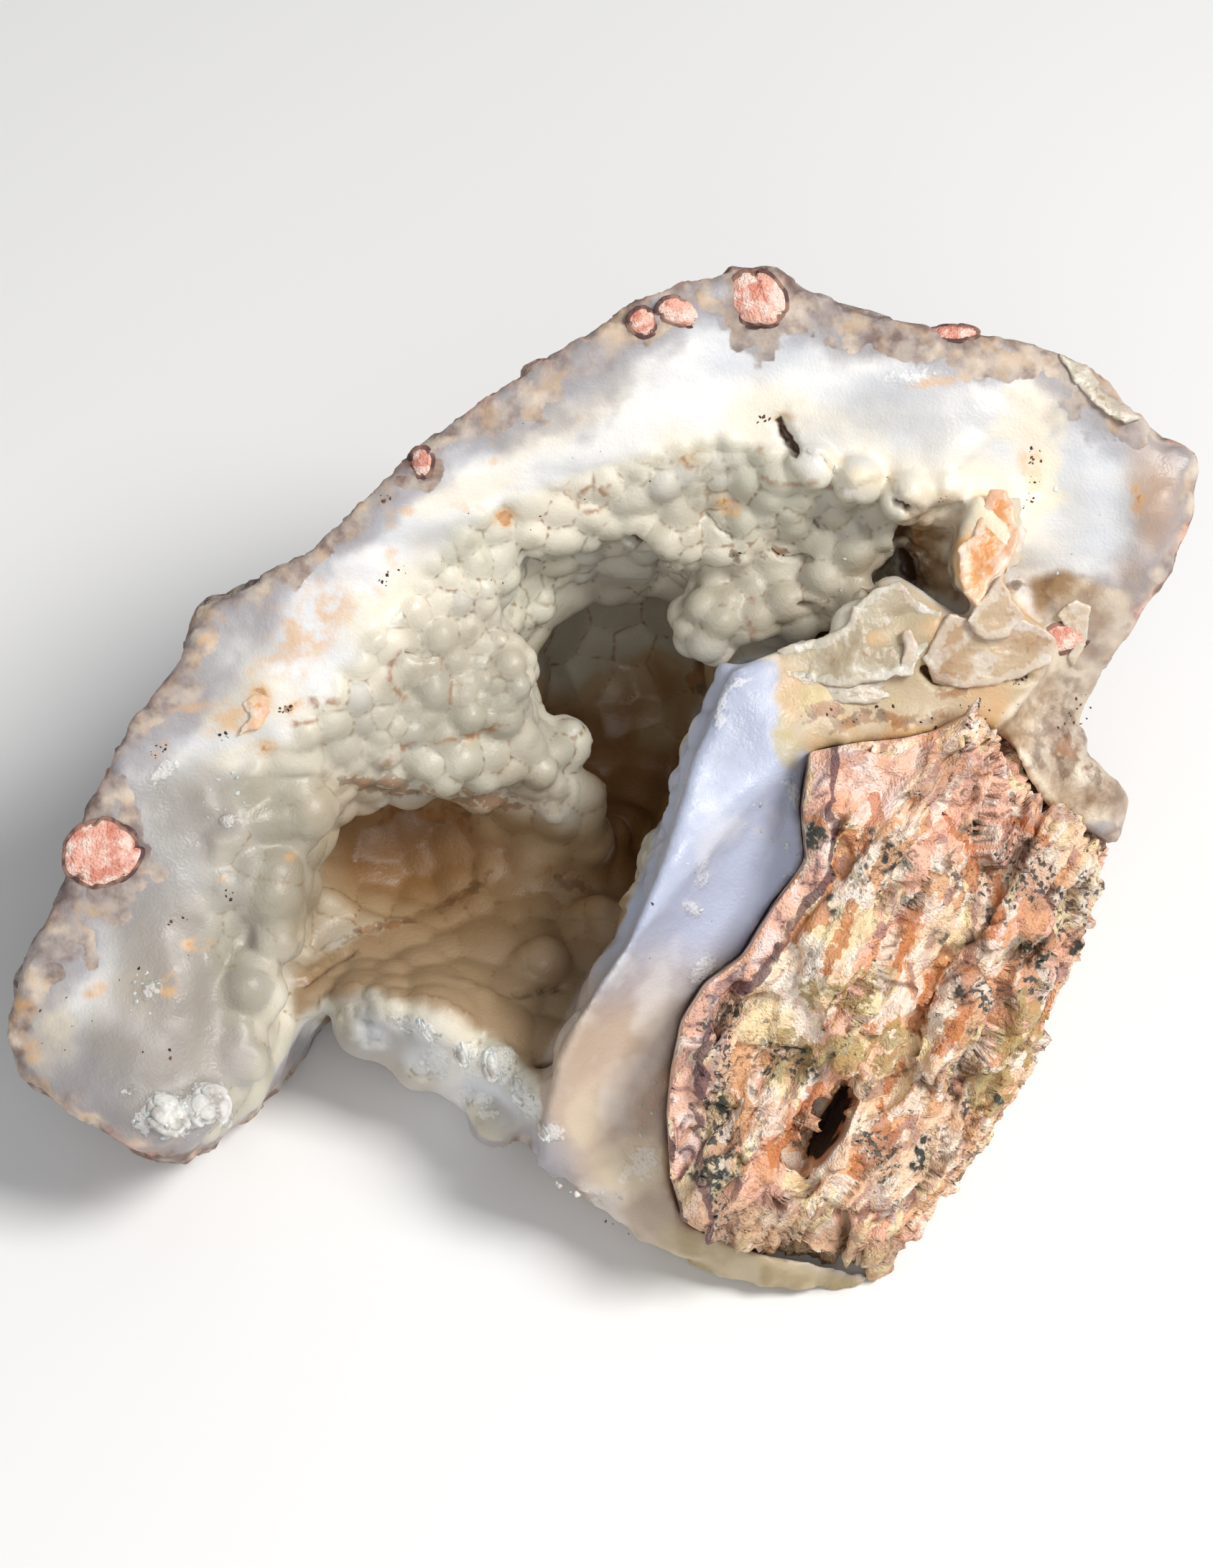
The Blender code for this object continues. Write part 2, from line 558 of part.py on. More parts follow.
def build_rhyolite():
    rock = stone_block("rhyolite_matrix")
    height = surface_through(ROCK_SPOTS)
    combine(rock, space_in_front("rock_front", height, OUTLINE), "DIFFERENCE")
    join(rock, rock_plates(height, np.random.default_rng(SEED)))
    remesh(rock, VOXEL)
    for number, (centre, radii) in enumerate(ROCK_SLIT):
        combine(rock, ellipsoid(f"slit_{number}", centre, radii), "DIFFERENCE")
    combine(rock, stone_block("outer_limit"), "INTERSECT")
    remesh(rock, VOXEL)
    return rock


def rock_space(name, gap):
    """The room that the host rock fills, shrunk by a gap on its contact side."""
    edge = ROCK_CONTACT + ROCK_FREE_SIDE
    centre = Vector(ROCK_MIDDLE)
    rings = []
    for depth, share in ((ROCK_BACK + gap, 1.0), (ROCK_TURN, 0.0), (ROCK_FRONT, 0.0)):
        ring = []
        for corner in edge:
            place = Vector(corner) + Vector(ROCK_SLOPE) * share
            middle = centre + Vector(ROCK_SLOPE) * share
            inward = (middle - place).normalized() * gap
            ring.append((*(place + inward), depth))
        rings.append(ring)
    return loft(name, rings)


def cut_flat_base(target):
    """Everything below the flat underside goes."""
    block = bmesh.new()
    bmesh.ops.create_cube(block, size=CUTTER_SIZE)
    bmesh.ops.translate(block, vec=(0.0, 0.0, -CUTTER_SIZE / 2.0), verts=block.verts)
    mesh = bpy.data.meshes.new("below")
    block.to_mesh(mesh)
    block.free()
    below = bpy.data.objects.new("below", mesh)
    bpy.context.scene.collection.objects.link(below)
    combine(target, below, "DIFFERENCE")


def finish(target, look):
    target.data.materials.clear()
    target.data.materials.append(material(target.name, look))
    target.data.shade_smooth()
    target.data.set_sharp_from_angle(angle=SHARP_EDGE)


def main():
    clear_scene()
    stone = build_chalcedony()
    rock = build_rhyolite()
    decimate(stone, CHALCEDONY_TRIANGLES)
    decimate(rock, ROCK_BLOCK_TRIANGLES)
    combine(stone, rock_space("contact", 0.0), "DIFFERENCE")
    combine(rock, rock_space("rock_room", NODE_GAP), "INTERSECT")
    for target, look in ((stone, CHALCEDONY_LOOK), (rock, RHYOLITE_LOOK)):
        lean_and_scale(target)
        cut_flat_base(target)
        finish(target, look)
        print(target.name, len(target.data.polygons), "faces")


main()
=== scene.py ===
# %% [markdown]
# # Raw chalcedony: the looks of a broken geode
#
# The stone is one thick wall of chalcedony, broken open, with a hollow full of grape-like domes and
# a chunk of its host rock, a platy rhyolite, on the lower right. The CAD model already has the main
# shape. This lesson gives the stone its skin: it copies the CAD solids, refines them, grows the
# small domes and the broken plates on them, and then builds a waxy, stained, procedural stone.
#
# The frame is loaded first. Everything after it sits in the same place, in metres.

# %% Load the frame
import json
import math

import bpy
import numpy as np
from mathutils import Matrix, Vector
from mathutils.bvhtree import BVHTree
from mathutils.kdtree import KDTree

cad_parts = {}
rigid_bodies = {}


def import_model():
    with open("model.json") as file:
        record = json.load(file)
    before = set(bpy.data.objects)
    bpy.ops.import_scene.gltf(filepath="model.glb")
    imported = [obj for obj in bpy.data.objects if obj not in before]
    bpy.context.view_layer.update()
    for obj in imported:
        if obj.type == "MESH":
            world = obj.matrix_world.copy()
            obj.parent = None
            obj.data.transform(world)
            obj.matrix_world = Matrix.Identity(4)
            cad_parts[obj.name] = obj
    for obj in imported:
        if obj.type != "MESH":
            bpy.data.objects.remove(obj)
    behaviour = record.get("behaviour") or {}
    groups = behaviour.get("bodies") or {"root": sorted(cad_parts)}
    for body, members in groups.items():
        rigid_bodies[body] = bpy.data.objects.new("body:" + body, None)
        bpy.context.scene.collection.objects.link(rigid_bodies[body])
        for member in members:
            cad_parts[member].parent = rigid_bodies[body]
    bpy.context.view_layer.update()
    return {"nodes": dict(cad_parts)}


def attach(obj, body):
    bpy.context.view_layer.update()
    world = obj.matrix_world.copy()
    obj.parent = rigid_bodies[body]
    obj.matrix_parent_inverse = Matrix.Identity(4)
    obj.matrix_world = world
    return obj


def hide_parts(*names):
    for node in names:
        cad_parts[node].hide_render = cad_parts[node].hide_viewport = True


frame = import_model()

# %% [markdown]
# ## The face frame
#
# The stone leans back on its flat underside, which makes its shapes awkward to describe in world
# coordinates. It is easier to think in the plane of the broken face: u runs right, v runs up along
# the face and w points out of it, all in millimetres. One matrix takes us from there to the world.

# %% Between the face frame and the world
MM = 0.001
LEAN = math.radians(40.0)
FACE_ORIGIN = Vector((0.0, -8.46, 39.8)) * MM
FACE_TO_WORLD = (
    Matrix.Translation(FACE_ORIGIN) @ Matrix.Scale(MM, 4) @ Matrix.Rotation(LEAN, 4, "X")
)
WORLD_TO_FACE = FACE_TO_WORLD.inverted()


def moved(points, matrix):
    """An array of points, moved by a matrix."""
    matrix = np.array(matrix)
    return points @ matrix[:3, :3].T + matrix[:3, 3]


def own_points(piece):
    """The vertices of a piece as its mesh stores them."""
    flat = np.empty(len(piece.data.vertices) * 3)
    piece.data.vertices.foreach_get("co", flat)
    return flat.reshape(-1, 3)


def set_own_points(piece, points):
    piece.data.vertices.foreach_set("co", points.ravel())
    piece.data.update()


def face_points(piece):
    """Where the vertices of a piece are in the face frame."""
    return moved(own_points(piece), WORLD_TO_FACE)


def set_face_points(piece, points):
    set_own_points(piece, moved(points, FACE_TO_WORLD))


def face_normals(piece):
    flat = np.empty(len(piece.data.vertices) * 3)
    piece.data.vertex_normals.foreach_get("vector", flat)
    turn = np.array(Matrix.Rotation(LEAN, 3, "X"))
    return flat.reshape(-1, 3) @ turn


print("broken face leans back", round(math.degrees(LEAN)), "degrees")

# %% [markdown]
# ## Working by hand, in code
#
# Blender's operators act on whatever is selected, so one small helper clears the selection and
# picks a single piece. Others apply a modifier at once, which is what a modeller does when a shape
# is settled, and run edit-mode operators on a whole piece.

# %% Selection and modifier helpers
MERGE_DISTANCE = 0.000001   # m


def linked(name, data):
    """A new object in the scene."""
    made = bpy.data.objects.new(name, data)
    bpy.context.scene.collection.objects.link(made)
    return made


def only(piece):
    for other in bpy.context.view_layer.objects:
        other.select_set(False)
    piece.select_set(True)
    bpy.context.view_layer.objects.active = piece


def apply_modifier(piece, kind, **settings):
    only(piece)
    added = piece.modifiers.new(kind.lower(), kind)
    for name, value in settings.items():
        setattr(added, name, value)
    bpy.ops.object.modifier_apply(modifier=added.name)


def remesh(piece, voxel):
    """Even squares all over, `voxel` millimetres wide. Whatever overlaps is fused."""
    apply_modifier(piece, "REMESH", mode="VOXEL", voxel_size=voxel * MM)


def edit(piece, *steps):
    """Run a few edit-mode operators on the whole of a piece."""
    only(piece)
    bpy.ops.object.mode_set(mode="EDIT")
    bpy.ops.mesh.select_all(action="SELECT")
    for step in steps:
        step()
    bpy.ops.object.mode_set(mode="OBJECT")


def copy_of_solid(node, name, voxel):
    """A copy of a CAD solid, merged into one skin and remeshed."""
    made = linked(name, frame["nodes"][node].data.copy())
    edit(made, lambda: bpy.ops.mesh.remove_doubles(threshold=MERGE_DISTANCE))
    remesh(made, voxel)
    return made


def triangles(piece):
    piece.data.calc_loop_triangles()
    return len(piece.data.loop_triangles)


# %% [markdown]
# ## Camera, floor and light
#
# A specimen is photographed from close by, looking down into the hollow, under one broad soft light
# with a bright surround that fills the shadows. The floor is a plain pale sheet. The standard view
# transform shows colours as they are mixed. Setting these up first means that every later step can
# be checked in a render.

# %% Camera
CAMERA_ELEVATION = math.radians(50.0)
CAMERA_DISTANCE = 0.400
VIEW_HEIGHT = 0.156         # what the frame takes in at the stone, from top to bottom
SENSOR = 36.0

camera_data = bpy.data.cameras.new("camera")
camera_data.sensor_width = SENSOR
camera_data.lens = SENSOR * CAMERA_DISTANCE / VIEW_HEIGHT
camera = linked("camera", camera_data)
towards_stone = Vector((0.0, math.cos(CAMERA_ELEVATION), -math.sin(CAMERA_ELEVATION)))
camera.location = FACE_ORIGIN - towards_stone * CAMERA_DISTANCE
camera.rotation_euler = (math.pi / 2.0 - CAMERA_ELEVATION, 0.0, 0.0)
bpy.context.scene.camera = camera
print("lens", round(camera_data.lens, 1), "mm")

# %% Floor
FLOOR_SIZE = 4.0
FLOOR_PALE = (0.93, 0.93, 0.93, 1.0)
FLOOR_ROUGHNESS = 0.9

only(camera)
bpy.ops.mesh.primitive_plane_add(size=FLOOR_SIZE)
floor = bpy.context.object
floor.name = "floor"
floor_paper = bpy.data.materials.new("floor_paper")
floor_paper.use_nodes = True
paper = floor_paper.node_tree.nodes["Principled BSDF"]
paper.inputs["Base Color"].default_value = FLOOR_PALE
paper.inputs["Roughness"].default_value = FLOOR_ROUGHNESS
floor.data.materials.append(floor_paper)

# %% Soft light
SURROUND = (0.95, 0.97, 1.0, 1.0)
SURROUND_STRENGTH = 0.25


def soft_light(name, place, size, watts, colour):
    """A square softbox that faces the stone."""
    lamp = bpy.data.lights.new(name, "AREA")
    lamp.size = size
    lamp.energy = watts
    lamp.color = colour
    made = linked(name, lamp)
    made.location = place
    made.rotation_euler = (FACE_ORIGIN - Vector(place)).to_track_quat("-Z", "Y").to_euler()


soft_light("window", (0.42, -0.16, 0.62), 0.26, 5.0, (1.0, 0.98, 0.95))
soft_light("fill", (-0.70, -0.40, 0.45), 0.80, 0.8, (0.88, 0.94, 1.0))
soft_light("front", (0.02, -0.42, 0.42), 0.25, 0.60, (1.0, 0.99, 0.97))
world = bpy.data.worlds.new("bright_room")
world.use_nodes = True
background = world.node_tree.nodes["Background"]
background.inputs["Color"].default_value = SURROUND
background.inputs["Strength"].default_value = SURROUND_STRENGTH
bpy.context.scene.world = world
bpy.context.scene.view_settings.view_transform = "Standard"

# %% [markdown]
# ## Random hills and broken cells
#
# Stone is never even. Two helpers give that unevenness to any set of points. `hills` is smooth
# noise: random heights on a coarse grid, eased from one to the next. `cells` splits space into
# irregular lumps, each with random numbers of its own, which is how a platy rock or a crust of
# small crystals breaks. Both use a fixed seed, so the stone comes out the same every time.

# %% Noise helpers
TABLE = 32
OCTAVE_SHIFT = 7.3          # keeps the octaves of `hills` apart


def hills(points, size, seed, octaves=3):
    """Smooth random heights, about -1 to 1, with features about `size` across."""
    table = np.random.default_rng(seed).uniform(-1.0, 1.0, (TABLE,) * 3)
    total = np.zeros(len(points))
    for octave in range(octaves):
        place = points / size * 2.0 ** octave + OCTAVE_SHIFT * octave
        home = np.floor(place).astype(int)
        part = place - home
        ease = part * part * (3.0 - 2.0 * part)
        for corner in np.ndindex(2, 2, 2):
            share = np.prod(np.where(corner, ease, 1.0 - ease), axis=1)
            total += share * table[tuple(((home + corner) % TABLE).T)] * 0.5 ** octave
    return total


def cells(points, size, seed, jitter=0.85):
    """Irregular cells: distance to the cell's own centre and to the next one, the offset from the
    centre, and four random numbers that all points of a cell share."""
    rng = np.random.default_rng(seed)
    shift = (rng.random((TABLE, TABLE, TABLE, 3)) - 0.5) * jitter + 0.5
    gifts = rng.uniform(-1.0, 1.0, (TABLE, TABLE, TABLE, 4))
    place = points / size
    home = np.floor(place).astype(int)
    near = np.full(len(points), np.inf)
    second = near.copy()
    offset = np.zeros_like(place)
    own = np.zeros((len(points), 4))
    for step in np.ndindex(3, 3, 3):
        cell = home + step - 1
        index = tuple((cell % TABLE).T)
        away = place - cell - shift[index]
        gap = np.sqrt((away ** 2).sum(axis=1))
        closer = gap < near
        second = np.where(closer, near, np.minimum(second, gap))
        near = np.where(closer, gap, near)
        offset[closer] = away[closer]
        own[closer] = gifts[index][closer]
    return near, second, offset, own


def ease(value, low, high):
    """0 below low, 1 above high and a soft step between them."""
    share = np.clip((value - low) / (high - low), 0.0, 1.0)
    return share * share * (3.0 - 2.0 * share)


print("noise tables of", TABLE, "cells a side")

# %% [markdown]
# ## The wall of chalcedony
#
# The wall starts as a copy of the CAD solid. Its loose triangles are merged into one skin, and a
# voxel remesh turns that into even small squares that can carry fine relief. Voxels suit a lump of
# stone: they have no seams, and anything that overlaps is fused. The facets of the coarse solid are
# then smoothed away, most of all in the hollow, where everything is round.

# %% Copy and refine the wall
WALL_VOXEL = 0.52           # mm

wall = copy_of_solid("chalcedony", "chalcedony_wall", WALL_VOXEL)
print("wall", len(wall.data.vertices), "points")

# %% [markdown]
# The hollow is not a clean cave. Its lining bulges in large lobes, like a bunch of grapes seen from
# the inside. Which points belong to the lining can be told from two things: they lie within the
# hollow's rough outline, and they face its middle, while the outside of the stone faces away.
# The outline, like every place below, is written in the face frame.

# %% Find the lining
HOLLOW_EDGE = [
    (-44, -32), (-43, -12), (-41, -3), (-34, 3), (-29, 10), (-22, 16), (-15, 26), (-6, 30), (3, 33),
    (11, 35), (20, 33), (28, 30), (34, 28), (36, 20), (34, 16), (17, 14), (12.5, 12), (10.5, 8),
    (8.5, 1.5), (7, -3.6), (5.2, -9), (2.2, -16), (-1, -21), (-4, -26), (-6, -32), (-12, -38),
    (-28, -30), (-31, -24), (-36, -33), (-40, -36),
]
HOLLOW_MIDDLE = np.array((-4.0, 0.0, 20.0))
LIP_DEPTH = -1.0            # the lining begins this far behind the face
LEAST_SMOOTHING = 0.06      # share of the smoothing that the rest of the wall gets


def inside(points, edge):
    """Whether each point lies inside a closed outline, seen along w."""
    u, v = points[:, 0], points[:, 1]
    crossed = np.zeros(len(points), bool)
    for (u0, v0), (u1, v1) in zip(edge, edge[1:] + edge[:1]):
        spans = (v0 > v) != (v1 > v)
        if v0 != v1:
            crossed ^= spans & (u < u0 + (v - v0) * (u1 - u0) / (v1 - v0))
    return crossed


def blurred(piece, values, rounds):
    """The vertices' values, each averaged with its neighbours a few times."""
    ends = np.empty(len(piece.data.edges) * 2, np.int64)
    piece.data.edges.foreach_get("vertices", ends)
    first, second = ends.reshape(-1, 2).T
    size = len(values)
    count = np.bincount(first, minlength=size) + np.bincount(second, minlength=size)
    for _ in range(rounds):
        total = np.bincount(first, values[second], size) + np.bincount(second, values[first], size)
        values = (values + total / np.maximum(count, 1)) / 2.0
    return values


def blurred_rows(piece, rows, rounds):
    """The same for points or normals, one coordinate after another."""
    return np.column_stack([blurred(piece, column, rounds) for column in rows.T])


def smoothed(piece, points, share, rounds):
    """Points moved towards their neighbours' average, each by its own share."""
    return points + np.reshape(share, (-1, 1)) * (blurred_rows(piece, points, rounds) - points)


def calm_normals(piece, normals, rounds):
    """Normals that no longer follow the smallest bumps."""
    normals = blurred_rows(piece, normals, rounds)
    return normals / np.linalg.norm(normals, axis=1, keepdims=True)


def lining_of(piece):
    """1 on the lining of the hollow, 0 elsewhere, with a soft edge."""
    points, normals = face_points(piece), face_normals(piece)
    inward = ((HOLLOW_MIDDLE - points) * normals).sum(axis=1) > 0.0
    found = inside(points, HOLLOW_EDGE) & inward & (points[:, 2] < LIP_DEPTH)
    return blurred(piece, found.astype(float), 4)


lining = lining_of(wall)
share = LEAST_SMOOTHING + (1.0 - LEAST_SMOOTHING) * lining
set_face_points(wall, smoothed(wall, face_points(wall), share, 14))
print("share of the skin that is lining", round(float(lining.mean()), 2))

# %% [markdown]
# The lobes are added as spheres at the places where they bulge. Joining them and remeshing fuses
# them into the wall, with a clean crease wherever two of them meet. Each is a place (u, v, w) and a
# radius.

# %% Lobes of the lining
LEFT_LOBES = [
    (-31.5, -2.5, -6.6, 4.3), (-34.8, -10, -6.2, 5), (-33.4, -15.5, -5.6, 3), (-36.2, -20.8, -5, 4),
    (-37.5, -27, -3.6, 3.8), (-37.5, -4, -3.4, 3),
]
SHELF_LOBES = [
    (-14.6, 21.3, -9.5, 5), (-14.3, 18.2, -7.5, 2.2), (-12.2, 16, -9.5, 1.8),
    (-10.4, 11.8, -10.5, 3.5), (-10.4, 8.2, -11.5, 2.6), (-18, 9.8, -8, 3), (-14.2, 8, -9.5, 3),
    (-17.8, 14.6, -6.5, 2.8), (-22.5, 5, -8, 3.2), (-26, 2.8, -8.5, 3), (-17, 3, -11, 3.6),
    (-12.3, 2.2, -13.5, 2.6), (-7.8, 2.6, -16.5, 3), (-4.6, 4.6, -20, 2.4), (-5.6, -1.3, -20, 2.2),
    (-2.6, -1.2, -23.5, 2.8), (-2, -5.2, -26.5, 2.8),
]
ARCH_LOBES = [
    (-7.8, 27.4, -8, 3.2), (-3.6, 26.6, -9.5, 2.6), (-1.4, 28.3, -7.5, 2), (1.6, 26.9, -9.5, 2.4),
    (7.4, 25.4, -10.5, 3.5), (5.8, 30.8, -6.2, 1.9), (13.2, 24.4, -10, 2.4), (-4, 21.6, -22, 2.2),
    (-0.1, 21.5, -24, 2.2), (3.2, 21.6, -25.5, 2.2), (-8, 19.2, -19, 2.2),
]
HANGING_LOBES = [
    (11.5, 17.2, -13.5, 3.9), (17.3, 18.6, -13.2, 3.5), (21.6, 18.6, -13.8, 2.7),
    (20.4, 15.8, -15, 1.9), (23.3, 21.9, -11.8, 3.7), (26.6, 25.6, -10, 3.6), (16.7, 31.2, -5, 1.9),
    (20.5, 31.4, -5, 2), (18.2, 28, -7.2, 1.9), (14.5, 27.8, -8.4, 2), (24.4, 30.8, -5.6, 2.6),
    (31.4, 28.8, -6, 2.9), (20.6, 32, -2.4, 2.3), (25.2, 30.4, -2.5, 2.6), (30.2, 28.9, -2.5, 2.6),
    (34.2, 29.6, -2.4, 1.8),
]
LEDGE_LOBES = [
    (-30.6, -21.2, -15.5, 2.6), (-24.2, -24.4, -12.6, 4.2), (-19, -28.6, -13.4, 3.2),
    (-11, -34.4, -12.6, 3.4), (-7, -18.6, -18.5, 2.7), (-0.6, -14, -24, 2.5),
    (-8.4, -8.6, -27, 1.9), (-14, -23, -12, 2.8),
]
LOBES = LEFT_LOBES + SHELF_LOBES + ARCH_LOBES + HANGING_LOBES + LEDGE_LOBES
LOBE_SWELL = -0.15          # mm added to each lobe, before the domes grow on it

only(wall)
for u, v, w, radius in LOBES:
    bpy.ops.mesh.primitive_ico_sphere_add(
        subdivisions=4, radius=(radius + LOBE_SWELL) * MM,
        location=FACE_TO_WORLD @ Vector((u, v, w)),
    )
    wall.select_set(True)
    bpy.context.view_layer.objects.active = wall
    bpy.ops.object.join()
remesh(wall, WALL_VOXEL)
set_face_points(wall, smoothed(wall, face_points(wall), 0.8, 2))
print("wall with lobes", len(wall.data.vertices), "points")

# %% [markdown]
# ## Grape-like domes
#
# Chalcedony grows into a hollow in round, overlapping domes a few millimetres wide. Modelling each
# as a mesh would cost far too many faces. Instead, seeds are scattered over the lining with room
# between them. A paraboloid stands on each, and every point of the wall rises to the highest one
# around it, so that the domes meet everywhere and leave no flats. Where two of them meet there is a
# crease, and how close a point is to one is kept, since that is where dirt and iron stains settle.
# On the ledge, at the foot and deep in the hollow the domes are wider and lower.

# %% Scatter the domes
SEED = 4717
DOME_SIZES = (0.95, 2.3)    # half-width, mm
DOME_SPACING = 1.36         # in half-widths
DOME_RISE = 0.40            # height of a dome, in half-widths
DOME_LIFTS = (-0.10, 0.16)  # lowest and highest start of a dome, in half-widths
WIDE_FACTOR, WIDE_EXTRA, WIDE_RISE = 1.5, 0.4, 0.55
WIDE_BELOW = -19.0          # mm, where all domes are wide
SEED_LINING = 0.35          # how surely a point is lining before a dome may stand on it
LEDGE_EDGE = [
    (-31, -19), (-25, -15.3), (-20, -13.8), (-16.5, -11.5), (-13, -9), (-8.5, -7), (-4, -9),
    (3, -11), (2, -16), (-1, -20.5), (-4, -26), (-6, -30), (-10, -26), (-17, -22.5), (-23, -20.5),
    (-28, -21.5), (-31, -24),
]
FOOT_BUBBLES = [(-46, -40), (-46, -2), (-36, 1), (-28, 1), (-27, -8), (-31, -20), (-30, -40)]


def tree_of(points):
    """A search tree of points."""
    tree = KDTree(len(points))
    for index, place in enumerate(points):
        tree.insert(place, index)
    tree.balance()
    return tree


def scatter(points, reach, rng):
    """Pick points at random so that no later one lies within an earlier one's reach."""
    tree = tree_of(points)
    free = np.ones(len(points), bool)
    chosen = []
    for index in rng.permutation(len(points)):
        if free[index]:
            chosen.append(index)
            for _, near, _ in tree.find_range(points[index], reach[index]):
                free[near] = False
    return np.array(chosen)


rng = np.random.default_rng(SEED)
points, normals = face_points(wall), calm_normals(wall, face_normals(wall), 4)
lining = lining_of(wall)
candidates = np.flatnonzero(lining > SEED_LINING)
size_here = ease(hills(points, 11.0, 3, 2) + rng.uniform(-0.5, 0.5, len(points)), -0.9, 0.9)
half_width = DOME_SIZES[0] + (DOME_SIZES[1] - DOME_SIZES[0]) * size_here
wide_domes = inside(points, LEDGE_EDGE) | inside(points, FOOT_BUBBLES) | (points[:, 2] < WIDE_BELOW)
half_width = np.where(wide_domes, WIDE_FACTOR * half_width + WIDE_EXTRA, half_width)
seeds = candidates[scatter(points[candidates], DOME_SPACING * half_width[candidates], rng)]
print(len(seeds), "domes")

# %% Raise the domes
CREASE_WIDTH = 0.26         # mm
CREASE_SOFTNESS = 0.03      # mm
NEIGHBOURS = 6              # how many domes are tried at each point
HEIGHT_LIMITS = (-0.7, 2.0)  # mm


def raise_domes(points, seeds, half_width, lift):
    """Height of the outermost dome over each point, how close the point is to a crease, which dome
    it lies on, and how far it is from the middle of that dome, in half-widths."""
    own_width = half_width[seeds]
    tree = tree_of(points[seeds])
    near = np.array([[found[1] for found in tree.find_n(place, NEIGHBOURS)] for place in points])
    caps = np.empty(near.shape)
    for k in range(NEIGHBOURS):
        away = np.linalg.norm(points - points[seeds[near[:, k]]], axis=1) / own_width[near[:, k]]
        caps[:, k] = (DOME_RISE * (1.0 - away ** 2) + lift[near[:, k]]) * own_width[near[:, k]]
    rows, order = np.arange(len(points)), np.argsort(-caps, axis=1)
    top, following = caps[rows, order[:, 0]], caps[rows, order[:, 1]]
    height = top + CREASE_SOFTNESS * np.log1p(np.exp((following - top) / CREASE_SOFTNESS))
    crease = np.exp((following - top) / CREASE_WIDTH)
    home = near[rows, order[:, 0]]
    reach = np.linalg.norm(points - points[seeds[home]], axis=1) / half_width[seeds[home]]
    return np.clip(height, *HEIGHT_LIMITS), crease, home, reach


domed = np.flatnonzero(lining > 0.02)
lookup = np.full(len(points), -1)
lookup[domed] = np.arange(len(domed))
height, near_crease, home, reach = raise_domes(
    points[domed], lookup[seeds], half_width[domed], rng.uniform(*DOME_LIFTS, len(seeds))
)
crease, dome_tone, dome_ring = np.zeros((3, len(points)))
crease[domed] = near_crease * lining[domed]
dome_tone[domed] = rng.random(len(seeds))[home]
dome_ring[domed] = np.minimum(reach, 1.0)
height = np.where(wide_domes[domed], WIDE_RISE * height, height)
points[domed] += normals[domed] * (height * lining[domed])[:, None]
set_face_points(wall, points)
print("tallest dome", round(float(height.max()), 2), "mm")

# %% [markdown]
# ## The broken face and the rind
#
# The rim was broken by a blow, so it is smooth and only gently uneven. The outside was the bottom
# of a gas bubble in volcanic rock, and it is rough: lumps, small pits, and chips of host rock that
# stayed on. A band of this rind also shows along the outer edge of the broken face. The distance
# from each point to the outside tells how wide that band is.

# %% Rough outside, smooth rim
RIND_STEEPEST = 0.25        # the outside is where the skin faces the viewer less than this
HOLLOW_BACK = -28.0         # mm, behind which nothing belongs to the hollow
INNER_EDGE = [
    (-8, -37), (4, -43.5), (14, -44.5), (60, -40), (60, -5), (49, -4), (46, 6), (47, 20), (42, 33),
    (33, 33), (12, 36), (0, 20), (-10, -10),
]

points, normals = face_points(wall), face_normals(wall)
outward = ((points - HOLLOW_MIDDLE) * normals).sum(axis=1) > 0.0
in_hollow = inside(points, HOLLOW_EDGE) | inside(points, INNER_EDGE)
in_hollow &= points[:, 2] > HOLLOW_BACK
outside = (normals[:, 2] < RIND_STEEPEST) & outward & ~in_hollow & (lining < 0.05)
outside = blurred(wall, outside.astype(float), 6)
outer_tree = tree_of(points[outside > 0.6])
edge_gap = np.array([outer_tree.find(place)[2] for place in points])

chip = cells(points, (6.0, 6.0, 4.0), 21)[3]
flake = cells(points, (2.2, 2.2, 1.8), 22)[3]
rough = 0.9 * hills(points, 9.0, 11) + 0.4 * hills(points, 2.6, 12)
rough = rough + 0.5 * chip[:, 0] + 0.2 * flake[:, 0] - 0.5
calm = 0.30 * hills(points, 13.0, 13) + 0.12 * hills(points, 3.0, 14)
near_edge = 1.0 - ease(edge_gap, 1.0, 4.0)
broken = calm + near_edge * (0.25 * flake[:, 1] + 0.25 * hills(points, 2.0, 15))
relief = outside * rough + (1.0 - outside) * (1.0 - lining) * broken
points += normals * relief[:, None]
set_face_points(wall, smoothed(wall, points, 0.5, 1))
print("outside", round(float(outside.mean()), 2), "of the skin")

# %% [markdown]
# ## Working by place
#
# Cracks, lips, stains and frosted patches sit at particular places. A stroke is an ellipse or a
# line in the plane of the face, as the camera sees it. A ray from the camera finds the depth of the
# skin there, so a stroke never goes through to the back of the stone. Its edge is made ragged with
# the same noise as above. Strokes carve the shape here, and later they paint masks, which are kept
# on the vertices as attributes. An ellipse is a place, half its width and height, a turn in degrees
# and a strength. A turn of 0 and a full strength are left out at the end. A line is half its width,
# a strength and its places.

# %% Brushes
EYE = np.array((0.0, 0.0, CAMERA_DISTANCE / MM))
STROKE_DEFAULTS = (0.0, 1.0)    # no turn and full strength, where a stroke names neither
STROKE_EDGE = (0.5, 1.3)        # a stroke is full up to the first and gone at the second
ZONE_STEEPEST = -0.3            # zones are on skin that faces the viewer more than this


def path_gap(places, path):
    """Distance from each (u, v) place to a line through given places."""
    gap = np.full(len(places), np.inf)
    for start, end in zip(path[:-1], path[1:]):
        run = np.subtract(end, start)
        away = places[:, :2] - start
        along = np.clip(away @ run / (run @ run), 0.0, 1.0)
        gap = np.minimum(gap, np.linalg.norm(away - along[:, None] * run, axis=1))
    return gap


